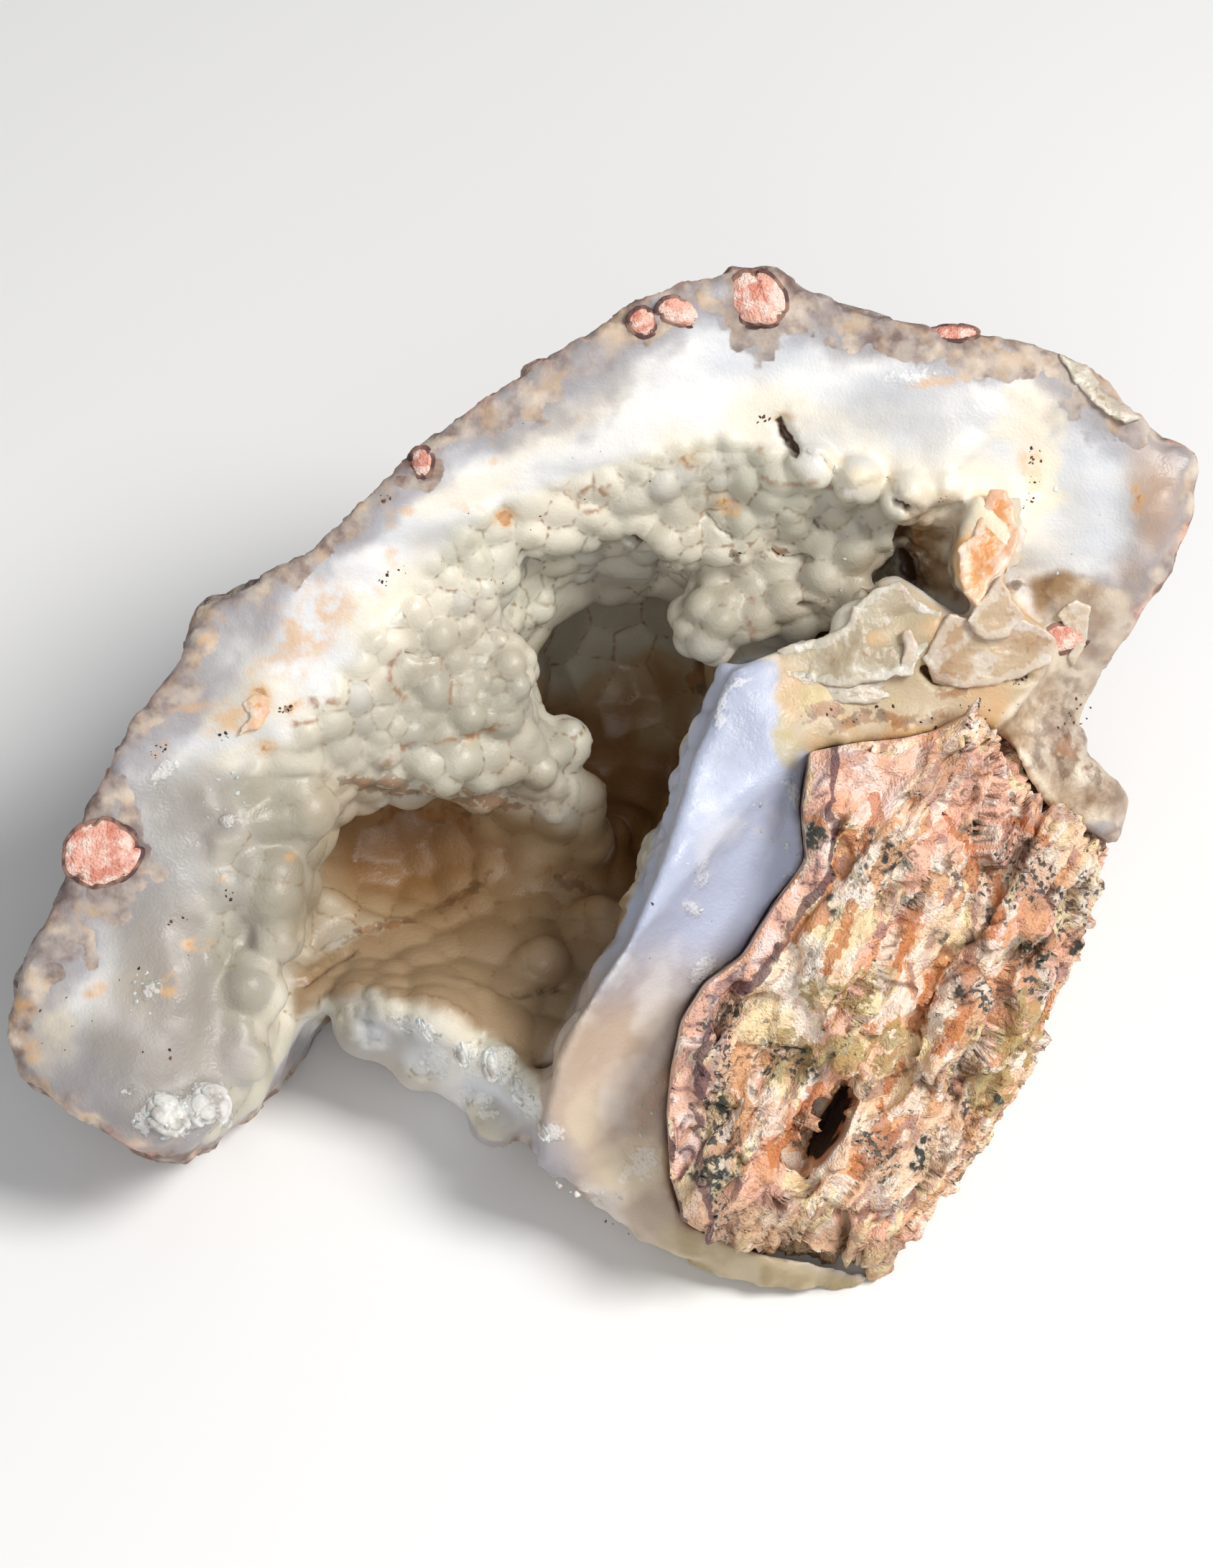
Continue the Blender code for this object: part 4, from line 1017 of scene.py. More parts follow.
SPECKLED_PATCHES = [
    (41.5, -8.5, 4.2, 4), (46.5, -12.2, 3.4, 3, 30), (11.4, -27, 1.4, 5, 10), (10.8, -36, 2, 5),
    (38, -21, 2.6, 1.6, 0, 0.7), (27, -37, 1.6, 3, 20, 0.8), (43, -20, 3, 2, 0, 0.8),
    (34, -9, 2.6, 2, 0, 0.5), (18.5, -28, 2.6, 2.4, 0, 0.8), (35, -32, 1.6, 3, 30, 0.6),
]
OLIVE_PATCHES = [
    (18.8, -27.4, 2.6, 2.6), (23, -27, 3.2, 1.8, 20, 0.8), (38.5, -30.5, 3.2, 2.8, 0, 0.9),
    (28.5, -26, 3.4, 2, 60, 0.7), (24.5, -21.5, 3, 2, 60, 0.6), (40, -25.5, 2.4, 1.4, 0, 0.8),
    (42, -24, 3, 4, 0, 0.6), (20, -21, 2, 1.4, 60, 0.5),
]
RUST_STREAKS = [
    (0.7, 1, [(18, -0.5), (19.2, -2.6), (20.2, -3.4), (22.4, -4.8), (24.4, -5.4)]),
    (0.7, 1, [(22.8, -7.8), (21.6, -10.4), (21.2, -13.4), (19, -15)]),
    (0.7, 1, [(31, -12), (30, -15.6), (28.6, -18)]),
    (0.7, 0.9, [(26.5, -1), (27, -3), (25.4, -6.2)]),
    (0.8, 1, [(33.6, -17), (31.6, -21.6), (30.6, -24)]),
    (0.8, 1, [(36.4, -18.4), (35, -23.4), (33.4, -26.6)]),
    (1, 1, [(20.4, -31), (18.4, -34.6), (16.6, -37)]),
    (1, 0.8, [(24.6, -38.4), (27, -36.6), (28, -33)]),
    (0.6, 0.9, [(38, -7.5), (39, -12), (38.4, -15)]),
    (0.6, 0.8, [(12.8, -19), (17, -16.6), (19.8, -13.6)]),
    (0.7, 0.9, [(24.6, -12), (23.4, -15.6), (22, -18.6)]),
    (0.6, 0.8, [(34, -3), (36, -6.4), (36.6, -10)]),
    (0.6, 0.8, [(29, -28.4), (27.6, -31.6)]),
    (0.6, 0.8, [(40.6, -3.4), (43.6, -5.4)]),
]
MAUVE_PATCHES = [
    (34, 2, 3.6, 2.4, 50), (38.5, 1.8, 1.8, 1.2), (32, -1, 2.6, 1.4, 60, 0.9),
    (36.5, -1, 1.2, 2.4, 0, 0.8), (27.5, -42, 1.6, 2.6, 20, 0.9), (18, -45, 3.2, 1.2, 0, 0.9),
    (28.6, -46.6, 1.4, 1.8, 0, 0.9), (17, -41.5, 2.2, 1.8, 0, 0.8), (24, 2.6, 3, 0.8, 10, 0.6),
    (29, -12.6, 1.2, 1.8, 60, 0.8), (45, -3, 2.4, 0.8, -20, 0.8), (9, -43, 1.6, 1.2, 0, 0.8),
]
PALE_PATCHES = [
    (34, -21.5, 1.6, 3.4, -30), (31.4, -12, 1.8, 1.4), (16, -33, 1.4, 3.6, -20, 0.9),
    (26.4, -33.4, 1.6, 2.6, -30, 0.8), (31, -31, 1.6, 2.6, -30, 0.9), (34, -36, 1.4, 2, 0, 0.8),
    (38, -17, 1.4, 2.4, -30, 0.9), (30, -4, 1.4, 2.6, -30, 0.8), (46, -20, 1.2, 2, 0, 0.8),
    (23.6, -35, 0.8, 3, -30, 0.8), (24, 0.6, 1.6, 1.2, 0, 0.7), (44, -7, 1.4, 1.8, 0, 0.6),
    (19.6, -18, 2.4, 3.2, -30, 0.9), (28.4, -22.6, 1.2, 2.4, -30, 0.8),
    (33, -7.6, 1.4, 2.2, -30, 0.7),
]
# A slit in the rock. It is only painted, with a painted shadow inside.
SLIT = [(22.3, -33.4, 1.5, 4, -28), (21.2, -36, 1.1, 1.6, -28)]
print(len(RUST_STREAKS), "streaks of rust")

# %% Paint the masks of the rock
ROCK_TRIANGLES = 190000


def tone_of(cell):
    """The last random number of each cell, from 0 to 1."""
    return 0.5 + 0.5 * cell[3][:, 3]


def line_at(gap, middle, width):
    """A soft line where a distance is near a middle value."""
    return np.exp(-((gap - middle) / width) ** 2)


rock_canvas = Canvas(rock)
seen = rock_canvas.seen
band = line_at(contact_gap, 4.2, 1.1) * ease(-points[:, 1], 19.0, 23.0)
keep(rock, {
    "vein": vein,
    "vein_cracks": vein_cracks * vein,
    "outline": line_at(contact_gap, 0.0, 0.45) + line_at(contact_gap, 3.1, 0.38),
    "gaps": gaps * loose,
    "plate_tone": tone_of(large),
    "sliver_tone": tone_of(middle),
    "chip_tone": tone_of(small),
    "dark": rock_canvas.dabs(DARK_PATCHES, rag=0.6),
    "speckled": np.maximum(rock_canvas.dabs(SPECKLED_PATCHES, rag=0.6), band),
    "olive": rock_canvas.dabs(OLIVE_PATCHES, rag=0.6),
    "rust": rock_canvas.lines(RUST_STREAKS, rag=0.8),
    "mauve": rock_canvas.dabs(MAUVE_PATCHES, rag=0.6),
    "pale": rock_canvas.dabs(PALE_PATCHES, rag=0.6),
    "slit": rock_canvas.dabs(SLIT, depth=12.0, rag=0.3),
    "pink": pink,
    "cream": cream,
    "cut": ease(-seen[:, 1] - FACET_SLOPE * seen[:, 0], 36.5, 38.5),
})
if triangles(rock) > ROCK_TRIANGLES:
    apply_modifier(rock, "DECIMATE", ratio=ROCK_TRIANGLES / triangles(rock))
rock.data.shade_smooth()
print("rock", triangles(rock), "triangles")

# %% [markdown]
# ## Broken plates
#
# On the right of the hollow the crust snapped into thin plates with sharp, scalloped edges, too
# crisp for the wall's own mesh. Each is a separate piece. A circle gets as many points as the plate
# has corners, the points are moved to the corners, and the face is extruded, remeshed finely and
# roughened. A plane through the skin below tells how each plate lies. The list gives the name of
# each plate, its tone, how far it stands off the skin, how thick it is and its corners.

# %% Make the plates
SHARD_VOXEL = 0.26          # mm
SHARDS = [
    ("grey_plate", 0, 0.5, 1.7, [
        (16.9, 13.2), (19.6, 14.3), (21.6, 14.6), (23.8, 15.6), (24.4, 17.6), (26.6, 19.4),
        (29.3, 20.5), (30.5, 18.9), (33.6, 17), (32.6, 14.6), (31.2, 12.8), (30.4, 10.9),
        (27.2, 10.2), (23.9, 9.6), (20.6, 9.9), (18.2, 10.6),
    ]),
    ("grey_lip", 0.2, 0.2, 1.5, [
        (16.8, 10.6), (20.6, 9.9), (24.4, 9.9), (27.6, 10.6), (29.6, 9), (26.4, 7.9), (22.6, 8.3),
        (18.6, 7.8), (17, 8.8),
    ]),
    ("tan_plate", 0.8, 0.9, 1.6, [
        (31.4, 12.6), (33, 15.2), (34, 17), (36.6, 16.4), (38.6, 15.2), (41.4, 16.6), (43.4, 15.6),
        (44.9, 14.4), (44.2, 12.2), (41.6, 10.8), (38.6, 9.9), (35.4, 9.5), (32.6, 10.3),
    ]),
    ("tan_tip", 0.7, 1.4, 1.4, [
        (35.7, 16.2), (36.9, 18), (38.2, 19.4), (39.2, 21.1), (40.2, 19), (41.5, 16.8),
        (40.2, 14.6), (37.4, 14.4),
    ]),
    ("cream_strip", 0.5, 1.3, 1, [
        (29.2, 11), (29.5, 13), (29.6, 15.4), (30.5, 15.6), (30.9, 13.4), (30.7, 11.2),
    ]),
    ("flap", 1, 0.8, 1.3, [
        (38.1, 29.5), (39.9, 29.3), (40.7, 27.6), (41, 25.2), (40.4, 22.6), (39.2, 20.9),
        (38.2, 20), (37, 17.5), (35.5, 18.8), (35.1, 20.6), (34.8, 23.4), (36.6, 24.7), (37, 26.8),
    ]),
    ("flap_side", 0.4, 0.1, 1.2, [
        (40, 28.8), (41.3, 28.6), (41.9, 25.6), (41.4, 22.4), (39.6, 20.8), (40.3, 23.4),
        (40.5, 26.4),
    ]),
    ("ring_chip", 0.7, 0.5, 1.3, [
        (44.6, 16.8), (46.6, 18.6), (48.2, 17.6), (48, 14.4), (46.4, 11.4), (45.6, 12.6),
        (46.2, 14.6),
    ]),
    ("pale_chip_high", 0.1, 0.4, 1, [
        (44.8, 43), (47.6, 41.8), (50.6, 38.6), (53.4, 36.4), (51.6, 35.8), (48.6, 37.6),
        (46.4, 40),
    ]),
    ("orange_chip", 0.9, 0.15, 0.8, [
        (-36.3, 8.2), (-34.6, 9.1), (-33.2, 9), (-33.3, 7.3), (-34.4, 5.6), (-36.6, 4.8),
        (-35.6, 6.6),
    ]),
]


def plane_below(canvas, outline):
    """Height and slopes, in w over (u, v), of the plane that best fits the skin in an outline."""
    middle = np.mean(outline, axis=0)
    spots = [middle + 0.7 * (np.array(corner) - middle) for corner in outline] + [middle]
    found = np.array([canvas.touch(*spot)[0] for spot in spots])
    found = found[np.abs(found[:, 2] - np.median(found[:, 2])) < 6.0]
    table = np.column_stack([found[:, 0], found[:, 1], np.ones(len(found))])
    return np.linalg.lstsq(table, found[:, 2], rcond=None)[0]


def seen_at(u, v, w):
    """The point at height w that the camera sees at (u, v)."""
    return Vector((u * (1.0 - w / EYE[2]), v * (1.0 - w / EYE[2]), w))


def shard(name, rise, thick, outline, seed):
    slope_u, slope_v, level = plane_below(canvas, outline)
    only(wall)
    bpy.ops.mesh.primitive_circle_add(vertices=len(outline), radius=MM, fill_type="NGON")
    made = bpy.context.object
    made.name = name
    for vertex, (u, v) in zip(made.data.vertices, outline):
        place = seen_at(u, v, slope_u * u + slope_v * v + level + rise)
        vertex.co = FACE_TO_WORLD @ place
    made.data.update()
    down = FACE_TO_WORLD.to_3x3() @ Vector((0.0, 0.0, -thick))
    edit(
        made,
        lambda: bpy.ops.mesh.extrude_region_move(TRANSFORM_OT_translate={"value": down}),
        lambda: bpy.ops.mesh.select_all(action="SELECT"),
        lambda: bpy.ops.mesh.normals_make_consistent(inside=False),
    )
    remesh(made, SHARD_VOXEL)
    points, normals = face_points(made), face_normals(made)
    rim_gap = path_gap(points, [*outline, outline[0]])
    ribs = cells(points, (1.6, 1.6, 1.2), seed)
    jag = np.column_stack([hills(points, 1.7, seed + 1), hills(points, 1.7, seed + 2)])
    points[:, :2] += 0.24 * jag
    points[:, 2] += 0.40 * hills(points, 5.0, seed + 3) + 0.08 * hills(points, 1.6, seed + 4)
    points += normals * (0.07 * ribs[3][:, 0] - 0.05)[:, None]
    set_face_points(made, smoothed(made, points, 0.35, 1))
    keep(made, {"rim": 1.0 - ease(rim_gap, 0.2, 1.5)})
    made.data.shade_smooth()
    return made


shards = [
    (shard(name, rise, thick, outline, 200 + 10 * count), tone)
    for count, (name, tone, rise, thick, outline) in enumerate(SHARDS)
]
print(len(shards), "plates,", sum(triangles(made) for made, _ in shards), "triangles")

# %% [markdown]
# ## Small pieces by place
#
# Nodules, quartz lumps, crystals and grains are each modelled once at unit size, as a ball around
# the origin. Copies are then scaled, turned and set on the skin where a ray from the camera meets
# it, and each keeps a mesh of its own.

# %% Model each small thing once
def unit_lump(name, detail, seed, cell, facet, bumps):
    """A unit ball, faceted by random cells and roughened by noise."""
    only(wall)
    bpy.ops.mesh.primitive_ico_sphere_add(subdivisions=detail, radius=1.0)
    made = bpy.context.object
    made.name = name
    ball = own_points(made)
    near, following, offset, own = cells(ball + seed, (cell, cell, cell), seed)
    height = facet * (own[:, 0] + offset[:, 0] * own[:, 1] + offset[:, 1] * own[:, 2])
    height -= 0.5 * facet * np.exp(-(following - near) / 0.08)
    height += bumps * hills(ball + seed, 0.5, seed)
    set_own_points(made, ball * (1.0 + height)[:, None])
    return made


def set_on(model, name, canvas, u, v, size, turn=0.0, sink=0.0):
    """A copy of a unit model on the skin seen at (u, v). Its size is in mm along its axes."""
    place, normal = canvas.touch(u, v)
    made = linked(name, model.data.copy())
    upright = normal.to_track_quat("Z", "Y").to_matrix().to_4x4()
    seat = Matrix.Translation(place - normal * sink) @ upright
    seat = seat @ Matrix.Rotation(math.radians(turn), 4, "Z") @ Matrix.Diagonal((*size, 1.0))
    made.data.transform(FACE_TO_WORLD @ seat)
    made.data.shade_smooth()
    return made


def joined(pieces, name):
    """Join many small copies into one piece."""
    only(pieces[0])
    for piece in pieces:
        piece.select_set(True)
    bpy.ops.object.join()
    pieces[0].name = name
    return pieces[0]


nodule_model = unit_lump("nodule_model", 5, 81, 0.85, 0.10, 0.05)
quartz_model = unit_lump("quartz_model", 5, 82, 1.0, 0.26, 0.02)
crystal_model = unit_lump("crystal_model", 2, 83, 0.9, 0.22, 0.0)
grain_model = unit_lump("grain_model", 2, 84, 0.8, 0.20, 0.10)
print("four models")

# %% [markdown]
# Each nodule has a dark ring: the same lump, a little wider and flatter. A spot is a place (u, v),
# half its width and height, its thickness, and how far it is turned.

# %% Set the nodules and the quartz
RING_WIDTH, RING_HEIGHT = 0.35, 0.6     # mm wider all round, and a share of the nodule's height
NODULES = [
    (-50.3, -6.8, 3.2, 3.4, 0.5, 0), (15, 48.2, 3, 2.4, 0.8, 0), (7.2, 47, 1.3, 2, 0.7, 25),
    (3.6, 46, 1.3, 1.2, 0.5, 0), (-18.4, 32, 1.4, 1, 0.5, 10), (34.4, 44.9, 2.5, 0.8, 0.5, -8),
    (45.6, 14.6, 1.4, 2.2, 0.6, 20),
]
QUARTZ = [
    (-43.6, -32.8, 2.6, 1.8, 1.1, 10), (-39.6, -31.8, 2.2, 2.2, 1.1, -20),
    (-37.8, -33.4, 1.4, 1.2, 0.8, 30), (-14.6, -26.9, 1.8, 0.8, 0.6, -20),
    (-11.6, -28.2, 1.9, 0.9, 0.7, -25), (-8.8, -30.6, 1.6, 0.8, 0.6, -45),
    (-18, -24.6, 1.6, 0.5, 0.4, -25), (-6.4, -34.6, 1.2, 0.7, 0.5, 20),
]


def set_all(model, name, spots, sink, wider=0.0, height=1.0):
    """A copy of a model on each spot, sunk by a share of its thickness."""
    return [
        set_on(model, f"{name}_{count}", canvas, u, v, (wide + wider, high + wider, height * thick),
               turn, sink * thick)
        for count, (u, v, wide, high, thick, turn) in enumerate(spots, 1)
    ]


nodules = set_all(nodule_model, "nodule", NODULES, 0.15)
rings = set_all(nodule_model, "nodule_ring", NODULES, 0.2, RING_WIDTH, RING_HEIGHT)
quartz_lumps = set_all(quartz_model, "quartz", QUARTZ, 0.35)
print(len(nodules), "nodules and", len(quartz_lumps), "quartz lumps")

# %% [markdown]
# Fresh breaks sparkle with sugary crystals, and black manganese grains stick to the rim. Both are
# far too many to place one by one, so they are scattered within a few ellipses, with a fixed seed.

# %% Scatter crystals and grains
CRYSTAL_SPOTS = [
    (-11.5, -28, 3.6, 1.6, -18, 34), (-19, -24.2, 3, 0.9, -25, 26), (-8, -32, 2.2, 1.2, -40, 20),
    (-13.4, -32, 2, 0.9, -30, 12), (-43, -33, 4.6, 2.6, 0, 34), (9, -11, 1.8, 3.6, 20, 8),
    (15.2, -4.2, 1.4, 2.8, 10, 6), (22, 10.4, 4, 0.7, -4, 24), (4.6, -31, 1.2, 4.6, -20, 6),
    (-38, -1, 2.2, 3.6, 0, 14), (-44, 1, 1.8, 1.4, 50, 10), (-2, -40.6, 3.6, 0.9, -12, 16),
    (26, 22, 6, 5, 0, 8), (-46, -21, 2, 2.6, -30, 14), (46, 24, 4, 6, 0, 8),
    (18.4, -8, 1.2, 2.6, 10, 12), (9.6, -18.6, 1.2, 2, -20, 10),
]
GRAIN_SPOTS = [
    (-22.6, 28.4, 1.2, 0.8, 0, 6), (-21.4, 21, 1.4, 1.6, 0, 10), (-31.9, 7.4, 0.7, 0.5, 20, 8),
    (-38, 4.7, 0.6, 0.4, 0, 5), (-44.6, 3.3, 1, 0.6, 35, 9), (-37.6, -10.8, 0.5, 0.9, 0, 6),
    (-42.6, -13.6, 1.2, 0.5, 20, 5), (42.6, 31.6, 1, 2, 0, 14), (42, 28, 0.7, 0.9, 0, 6),
    (12.8, 22.7, 0.7, 0.4, 0, 5), (17.6, 22.9, 0.9, 0.6, 0, 8), (33.6, 28.3, 0.7, 0.4, 20, 5),
    (38.7, 14.3, 0.7, 0.5, 10, 7), (39.6, 12.3, 0.8, 0.4, 20, 7), (41.5, 10.4, 1.2, 0.5, 20, 9),
    (46, 7.2, 2, 2.6, -40, 16), (36, 7, 6, 1.2, 10, 16), (24, 7, 5, 1, 5, 16),
    (-3.6, 30, 20, 8, 40, 12), (-44, -22, 5, 6, 0, 6), (1, -44, 2, 0.4, -20, 5),
    (-54, -24, 3, 3, 0, 6), (4, -10, 3, 10, 0, 4), (15.6, 36.2, 0.8, 0.6, 0, 6),
]


def strewn(model, name, spots, smallest, largest, sink, seed):
    """Copies of a model, at random within ellipses (u, v, half-width, half-height, turn, count)."""
    rng = np.random.default_rng(seed)
    made = []
    for u, v, wide, high, turn, count in spots:
        angle = math.radians(turn)
        for _ in range(count):
            reach, way = math.sqrt(rng.random()), rng.uniform(0.0, math.tau)
            along, across = wide * reach * math.cos(way), high * reach * math.sin(way)
            size = smallest + (largest - smallest) * rng.random() ** 2
            made.append(set_on(
                model, name, canvas,
                u + along * math.cos(angle) - across * math.sin(angle),
                v + along * math.sin(angle) + across * math.cos(angle),
                (size, size * rng.uniform(0.5, 1.0), 0.5 * size),
                rng.uniform(0.0, 360.0), sink * size,
            ))
    return joined(made, name)


crystals = strewn(crystal_model, "sugary_crystals", CRYSTAL_SPOTS, 0.12, 0.38, 0.2, 91)
grains = strewn(grain_model, "dark_grains", GRAIN_SPOTS, 0.07, 0.24, 0.1, 92)
for model in (nodule_model, quartz_model, crystal_model, grain_model):
    bpy.data.objects.remove(model)
print("crystals", triangles(crystals), "and grains", triangles(grains), "triangles")

# %% [markdown]
# ## Materials from nodes
#
# Every finish is procedural. A small class places nodes and links them. Colours are given as a
# paint chip's 0 to 255 values and turned into the linear values that Blender mixes with. Patterns
# read the object coordinates, in metres, so sizes are given in millimetres of real stone.

# %% Node helpers
def chip_colour(red, green, blue):
    """A colour given as on a paint chip, made linear."""
    linear = [
        ((value / 255.0 + 0.055) / 1.055) ** 2.4 if value > 10 else value / 3294.6
        for value in (red, green, blue)
    ]
    return (*linear, 1.0)


FACTOR, BELOW, ABOVE, MIXED = 0, 6, 7, 2    # sockets of a Mix node that mixes colours


class Nodes:
    """A node tree, with short ways to add to it. A painted mask can be given by its name."""

    def __init__(self, tree):
        self.tree = tree

    def give(self, socket, value):
        """Link a socket to another one or to a painted mask, or set a plain value."""
        if isinstance(value, str):
            value = self.put("Attribute", attribute_name=value).outputs["Fac"]
        if isinstance(value, bpy.types.NodeSocket):
            self.tree.links.new(value, socket)
        else:
            socket.default_value = value

    def put(self, kind, inputs=None, **settings):
        """Add a node, set it and give it its inputs."""
        made = self.tree.nodes.new("ShaderNode" + kind)
        for name, value in settings.items():
            setattr(made, name, value)
        for name, value in (inputs or {}).items():
            self.give(made.inputs[name], value)
        return made

    def math(self, operation, first, second):
        return self.put("Math", {0: first, 1: second}, operation=operation).outputs[0]

    def times(self, first, second):
        return self.math("MULTIPLY", first, second)

    def plus(self, first, second):
        return self.math("ADD", first, second)

    def less(self, first, second):
        return self.math("SUBTRACT", first, second)

    def larger(self, first, second):
        return self.math("MAXIMUM", first, second)

    def ramp(self, value, low, high):
        """0 at low and 1 at high. Swap them to turn a mask round."""
        inputs = {0: value, 1: low, 2: high}
        return self.put("MapRange", inputs, interpolation_type="SMOOTHSTEP").outputs[0]

    def noise(self, place, size, detail):
        """Noise with features `size` millimetres across."""
        scale = self.math("DIVIDE", 1.0 / MM, size)
        inputs = {"Vector": place, "Scale": scale, "Detail": detail}
        return self.put("TexNoise", inputs).outputs["Fac"]

    def layer(self, mask, below, above):
        """Lay one colour over another where the mask is white."""
        inputs = {FACTOR: mask, BELOW: below, ABOVE: above}
        return self.put("Mix", inputs, data_type="RGBA").outputs[MIXED]

    def coats(self, colour, *coats):
        """Lay coats over a colour, one by one: a mask, its strength and the colour it brings."""
        for mask, strength, above in coats:
            mask = mask if strength == 1.0 else self.times(mask, strength)
            colour = self.layer(mask, colour, above)
        return colour


# %% [markdown]
# Three effects are used again and again, so each is a node group. `mottle` gives soft patches of a
# chosen size, between a low and a high threshold, and can be stretched and turned for bands and
# streaks. `ragged` eats into the edge of a painted mask, so that stains and chips end as crisply as
# they do on stone. `grain` gives the fine height that catches the light.

# %% Node group: mottle
UNTURNED, EVEN = (0.0, 0.0, 0.0), (1.0, 1.0, 1.0)


def new_group(name, inputs, output):
    """An empty node group, its input sockets and its output socket."""
    group = bpy.data.node_groups.new(name, "ShaderNodeTree")
    for socket, value in inputs.items():
        kind = "NodeSocketVector" if isinstance(value, tuple) else "NodeSocketFloat"
        made = group.interface.new_socket(socket, in_out="INPUT", socket_type=kind)
        made.default_value = value
    group.interface.new_socket(output, in_out="OUTPUT", socket_type="NodeSocketFloat")
    start = group.nodes.new("NodeGroupInput")
    end = group.nodes.new("NodeGroupOutput")
    return Nodes(group), start.outputs, end.inputs[output]


mottle, given, result = new_group("mottle", {
    "Size mm": 10.0, "Low": 0.45, "High": 0.60, "Detail": 2.5, "Stretch": EVEN, "Turn": UNTURNED,
}, "Mask")
place = mottle.put("TexCoord").outputs["Object"]
place = mottle.put("Mapping", {"Vector": place, "Rotation": given["Turn"]}).outputs[0]
place = mottle.put("VectorMath", {0: place, 1: given["Stretch"]}, operation="MULTIPLY").outputs[0]
cloud = mottle.noise(place, given["Size mm"], given["Detail"])
mottle.give(result, mottle.ramp(cloud, given["Low"], given["High"]))

# %% Node groups: ragged and grain
ragged_edge, given, result = new_group(
    "ragged", {"Mask": 0.0, "Size mm": 1.5, "Spread": 1.2}, "Mask",
)
place = ragged_edge.put("TexCoord").outputs["Object"]
cloud = ragged_edge.less(ragged_edge.noise(place, given["Size mm"], 3.0), 0.5)
eaten = ragged_edge.plus(given["Mask"], ragged_edge.times(cloud, given["Spread"]))
held = ragged_edge.ramp(given["Mask"], 0.02, 0.20)
ragged_edge.give(result, ragged_edge.times(ragged_edge.ramp(eaten, 0.32, 0.52), held))

grain, given, result = new_group(
    "grain", {"Coarse mm": 1.2, "Fine mm": 0.3, "Fine share": 0.4}, "Height",
)
place = grain.put("TexCoord").outputs["Object"]
coarse, fine = (grain.noise(place, given[size], 1.5) for size in ("Coarse mm", "Fine mm"))
blend = grain.put("Mix", {0: given["Fine share"], 2: coarse, 3: fine}).outputs[0]
grain.give(result, blend)
print("node groups", [group.name for group in bpy.data.node_groups])

# %% [markdown]
# A finish is a material with these effects at hand. Its shader is wired by the names of its
# sockets, with underscores for spaces.

# %% Finishes
class Finish(Nodes):
    """A material, its node tree and its shader."""

    def __init__(self, name, **sockets):
        self.material = bpy.data.materials.new(name)
        self.material.use_nodes = True
        super().__init__(self.material.node_tree)
        self.wire(**sockets)

    def wire(self, **sockets):
        shader = self.tree.nodes["Principled BSDF"]
        for socket, value in sockets.items():
            self.give(shader.inputs[socket.replace("_", " ")], value)

    def patches(self, size, low=0.45, high=0.60, detail=2.5, stretch=EVEN, turn=UNTURNED):
        inputs = {
            "Size mm": size, "Low": low, "High": high, "Detail": detail, "Stretch": stretch,
            "Turn": turn,
        }
        return self.put("Group", inputs, node_tree=mottle.tree).outputs["Mask"]

    def ragged(self, mask, size=1.5, spread=1.2):
        """A painted mask with its edge eaten into."""
        inputs = {"Mask": mask, "Size mm": size, "Spread": spread}
        return self.put("Group", inputs, node_tree=ragged_edge.tree).outputs["Mask"]

    def bumps(self, coarse, fine, share, distance, strength=1.0):
        """Normals of a grainy surface. Sizes and distance are in millimetres."""
        inputs = {"Coarse mm": coarse, "Fine mm": fine, "Fine share": share}
        height = self.put("Group", inputs, node_tree=grain.tree).outputs["Height"]
        height = height if strength == 1.0 else self.times(height, strength)
        return self.put("Bump", {"Height": height, "Distance": distance * MM}).outputs["Normal"]


def dress(piece, finish):
    piece.data.materials.clear()
    piece.data.materials.append(finish.material)
    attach(piece, "root")


# %% [markdown]
# ## Waxy chalcedony
#
# Chalcedony lets light in a little way, which softens its shading and gives it a waxy look, so the
# shader scatters light under the surface. Its colour is built in layers, from large to small. The
# rim is banded from the outside in: brown rind, blue-grey, white, and cream at the lip. The lining
# is a pale grey-green. Deeper in the hollow it is painted greyer, which is painted shade, and low
# in the hollow it is painted brown, partly a stain and partly painted shade. The dim and shaded
# places get painted shade as well. Every dome has a tone of its own, and some are greyer in the
# middle.
# Then come the slab, the ledge and the crust, the tan facet at the foot, which is partly painted
# shade, and last the stains, cracks and frost.

# %% Chalcedony colours
WHITE, VEIL = chip_colour(242, 240, 237), chip_colour(190, 195, 204)
CREAM, GREY_BLUE = chip_colour(240, 226, 196), chip_colour(176, 173, 178)
SMOKE, LINING = chip_colour(144, 138, 132), chip_colour(230, 222, 204)
LINING_GREEN, LINING_GREY = chip_colour(208, 204, 186), chip_colour(202, 198, 187)
CREASE, DIM = chip_colour(150, 134, 104), chip_colour(172, 164, 144)
DEEP_SHADE, RIM_SHADE = chip_colour(164, 140, 108), chip_colour(162, 152, 142)
LINING_SHADE, BROWN = chip_colour(158, 150, 132), chip_colour(168, 142, 108)
DARK_BROWN, LAVENDER = chip_colour(138, 98, 54), chip_colour(186, 193, 215)
SLAB_GREY, BEIGE = chip_colour(182, 174, 176), chip_colour(194, 174, 156)
SLAB_SHADE, CRUST = chip_colour(150, 157, 178), chip_colour(190, 172, 142)
CRUST_TAN, FLAP = chip_colour(206, 172, 130), chip_colour(250, 190, 120)
TAN, TAN_DARK = chip_colour(222, 206, 182), chip_colour(162, 132, 98)
LEDGE_TAN, FACET_TAN_AND_SHADE = chip_colour(158, 128, 92), chip_colour(168, 148, 108)
DIRT, RIND = chip_colour(92, 60, 30), chip_colour(184, 170, 160)
RIND_DARK, RIND_EDGE = chip_colour(122, 100, 94), chip_colour(84, 60, 58)
